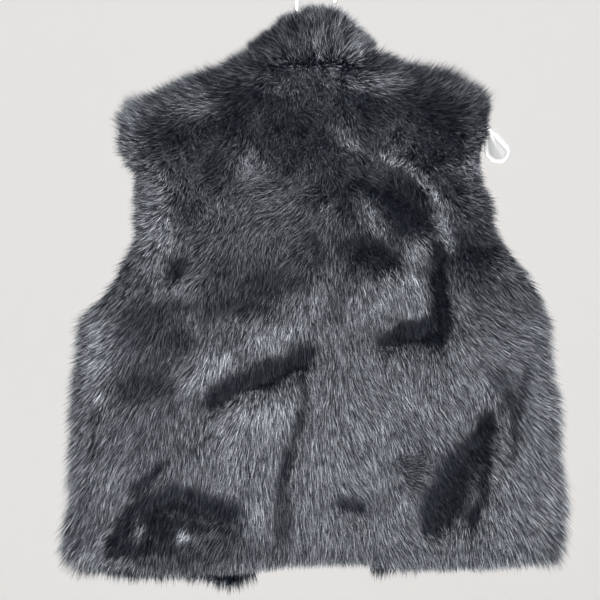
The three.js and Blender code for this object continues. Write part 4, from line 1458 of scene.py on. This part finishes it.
@dataclass
class Hanger:
    """The clear top hanger, moulded in one piece with its hook."""

    finish: bpy.types.Material

    def build(self) -> None:
        """Copies the solid, joins its loose triangles and rounds its shading."""
        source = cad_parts["hanger"]
        made = source.copy()
        made.data = source.data.copy()
        made.name = "clear_hanger"
        for key in list(made.keys()):
            del made[key]
        bpy.context.scene.collection.objects.link(made)
        work = bmesh.new()
        work.from_mesh(made.data)
        bmesh.ops.remove_doubles(work, verts=work.verts, dist=1e-5)
        work.to_mesh(made.data)
        work.free()
        made.data.materials.clear()
        made.data.materials.append(self.finish)
        made.data.set_sharp_from_angle(angle=math.radians(38))
        made.hide_render = False
        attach(made, BODY)
        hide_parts("hanger")
        LOG.info("clear_hanger: %d faces", len(made.data.polygons))


@dataclass
class Studio:
    """Camera, soft light, pale floor and backdrop."""

    middle: tuple[float, float] = (-0.0176, -0.3542)  # X and Z that the camera looks at
    distance: float = 2.2
    view_width: float = 0.66
    plane: float = -0.008
    floor: float = -1.75
    wall: float = 3.4
    half_room: float = 9
    room_depth: float = 7

    def camera(self) -> None:
        """The camera, straight on to the back of the vest."""
        data = bpy.data.cameras.new("camera")
        data.lens = 36 * self.distance / self.view_width
        data.clip_end = 50
        made = bpy.data.objects.new("camera", data)
        made.location = (self.middle[0], self.plane - self.distance, self.middle[1])
        made.rotation_euler = (math.pi / 2, 0, 0)
        bpy.context.scene.collection.objects.link(made)
        bpy.context.scene.camera = made

    def area_light(self, name: str, at: tuple[float, float, float], size: float, power: float) -> None:
        """A square soft light that faces the vest's middle."""
        data = bpy.data.lights.new(name, "AREA")
        data.size = size
        data.energy = power
        made = bpy.data.objects.new(name, data)
        made.location = at
        aim = Vector((self.middle[0], 0, self.middle[1])) - made.location
        made.rotation_mode = "QUATERNION"
        made.rotation_quaternion = aim.to_track_quat("-Z", "Y")
        bpy.context.scene.collection.objects.link(made)

    def stage_plane(self, name: str, corners: Sequence[tuple[float, float, float]], code: str) -> None:
        """A flat pale surface that isn't part of the object."""
        material, tree, shader = new_material(name)
        feed(tree, shader, {"Base Color": linear(code), "Roughness": 0.95})
        mesh_object(name, np.array(corners) / MM, [(0, 1, 2, 3)], material)

    def build(self) -> None:
        """Lights the scene and puts its floor and backdrop well away from the vest."""
        scene = bpy.context.scene
        scene.view_settings.view_transform = "Standard"
        world = bpy.data.worlds.new("studio")
        world.use_nodes = True
        background = world.node_tree.nodes["Background"]
        background.inputs["Color"].default_value = linear("#e8e7e7")
        background.inputs["Strength"].default_value = 1.12
        scene.world = world
        self.area_light("key", (-0.5, -1.9, 1.1), 1.3, 34)
        self.area_light("fill", (1.6, -1.5, 0.2), 1.6, 10)
        self.area_light("behind", (0.6, 2.2, 0.9), 1.6, 26)
        low, wall, side, top = self.floor, self.wall, self.half_room, self.room_depth
        corners = ((-side, -top, low), (side, -top, low), (side, top, low), (-side, top, low))
        self.stage_plane("floor", corners, "#dcdad7")
        corners = ((-side, wall, low), (side, wall, low), (side, wall, top), (-side, wall, top))
        self.stage_plane("backdrop", corners, "#e9e8e7")


def main() -> None:
    """Builds every piece."""
    logging.basicConfig(level=logging.INFO, format="%(name)s: %(message)s")
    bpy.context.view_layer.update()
    studio = Studio()
    studio.camera()
    studio.build()
    cut = Cut()
    ground = KnittedGround().build()
    pile = Pile(ModacrylicPile().build())
    Hanger(ClearStyrene().build()).build()
    Back(cut, ground, pile, BACK_PATCHES, facing=-1).build()
    for hand in Hand:
        Front(cut, ground, pile, FRONT_PATCHES, hand=hand).build()
    Collar(cut, ground, pile, COLLAR_PATCHES).build()
    pile.finish()


if __name__ == "__main__":
    main()
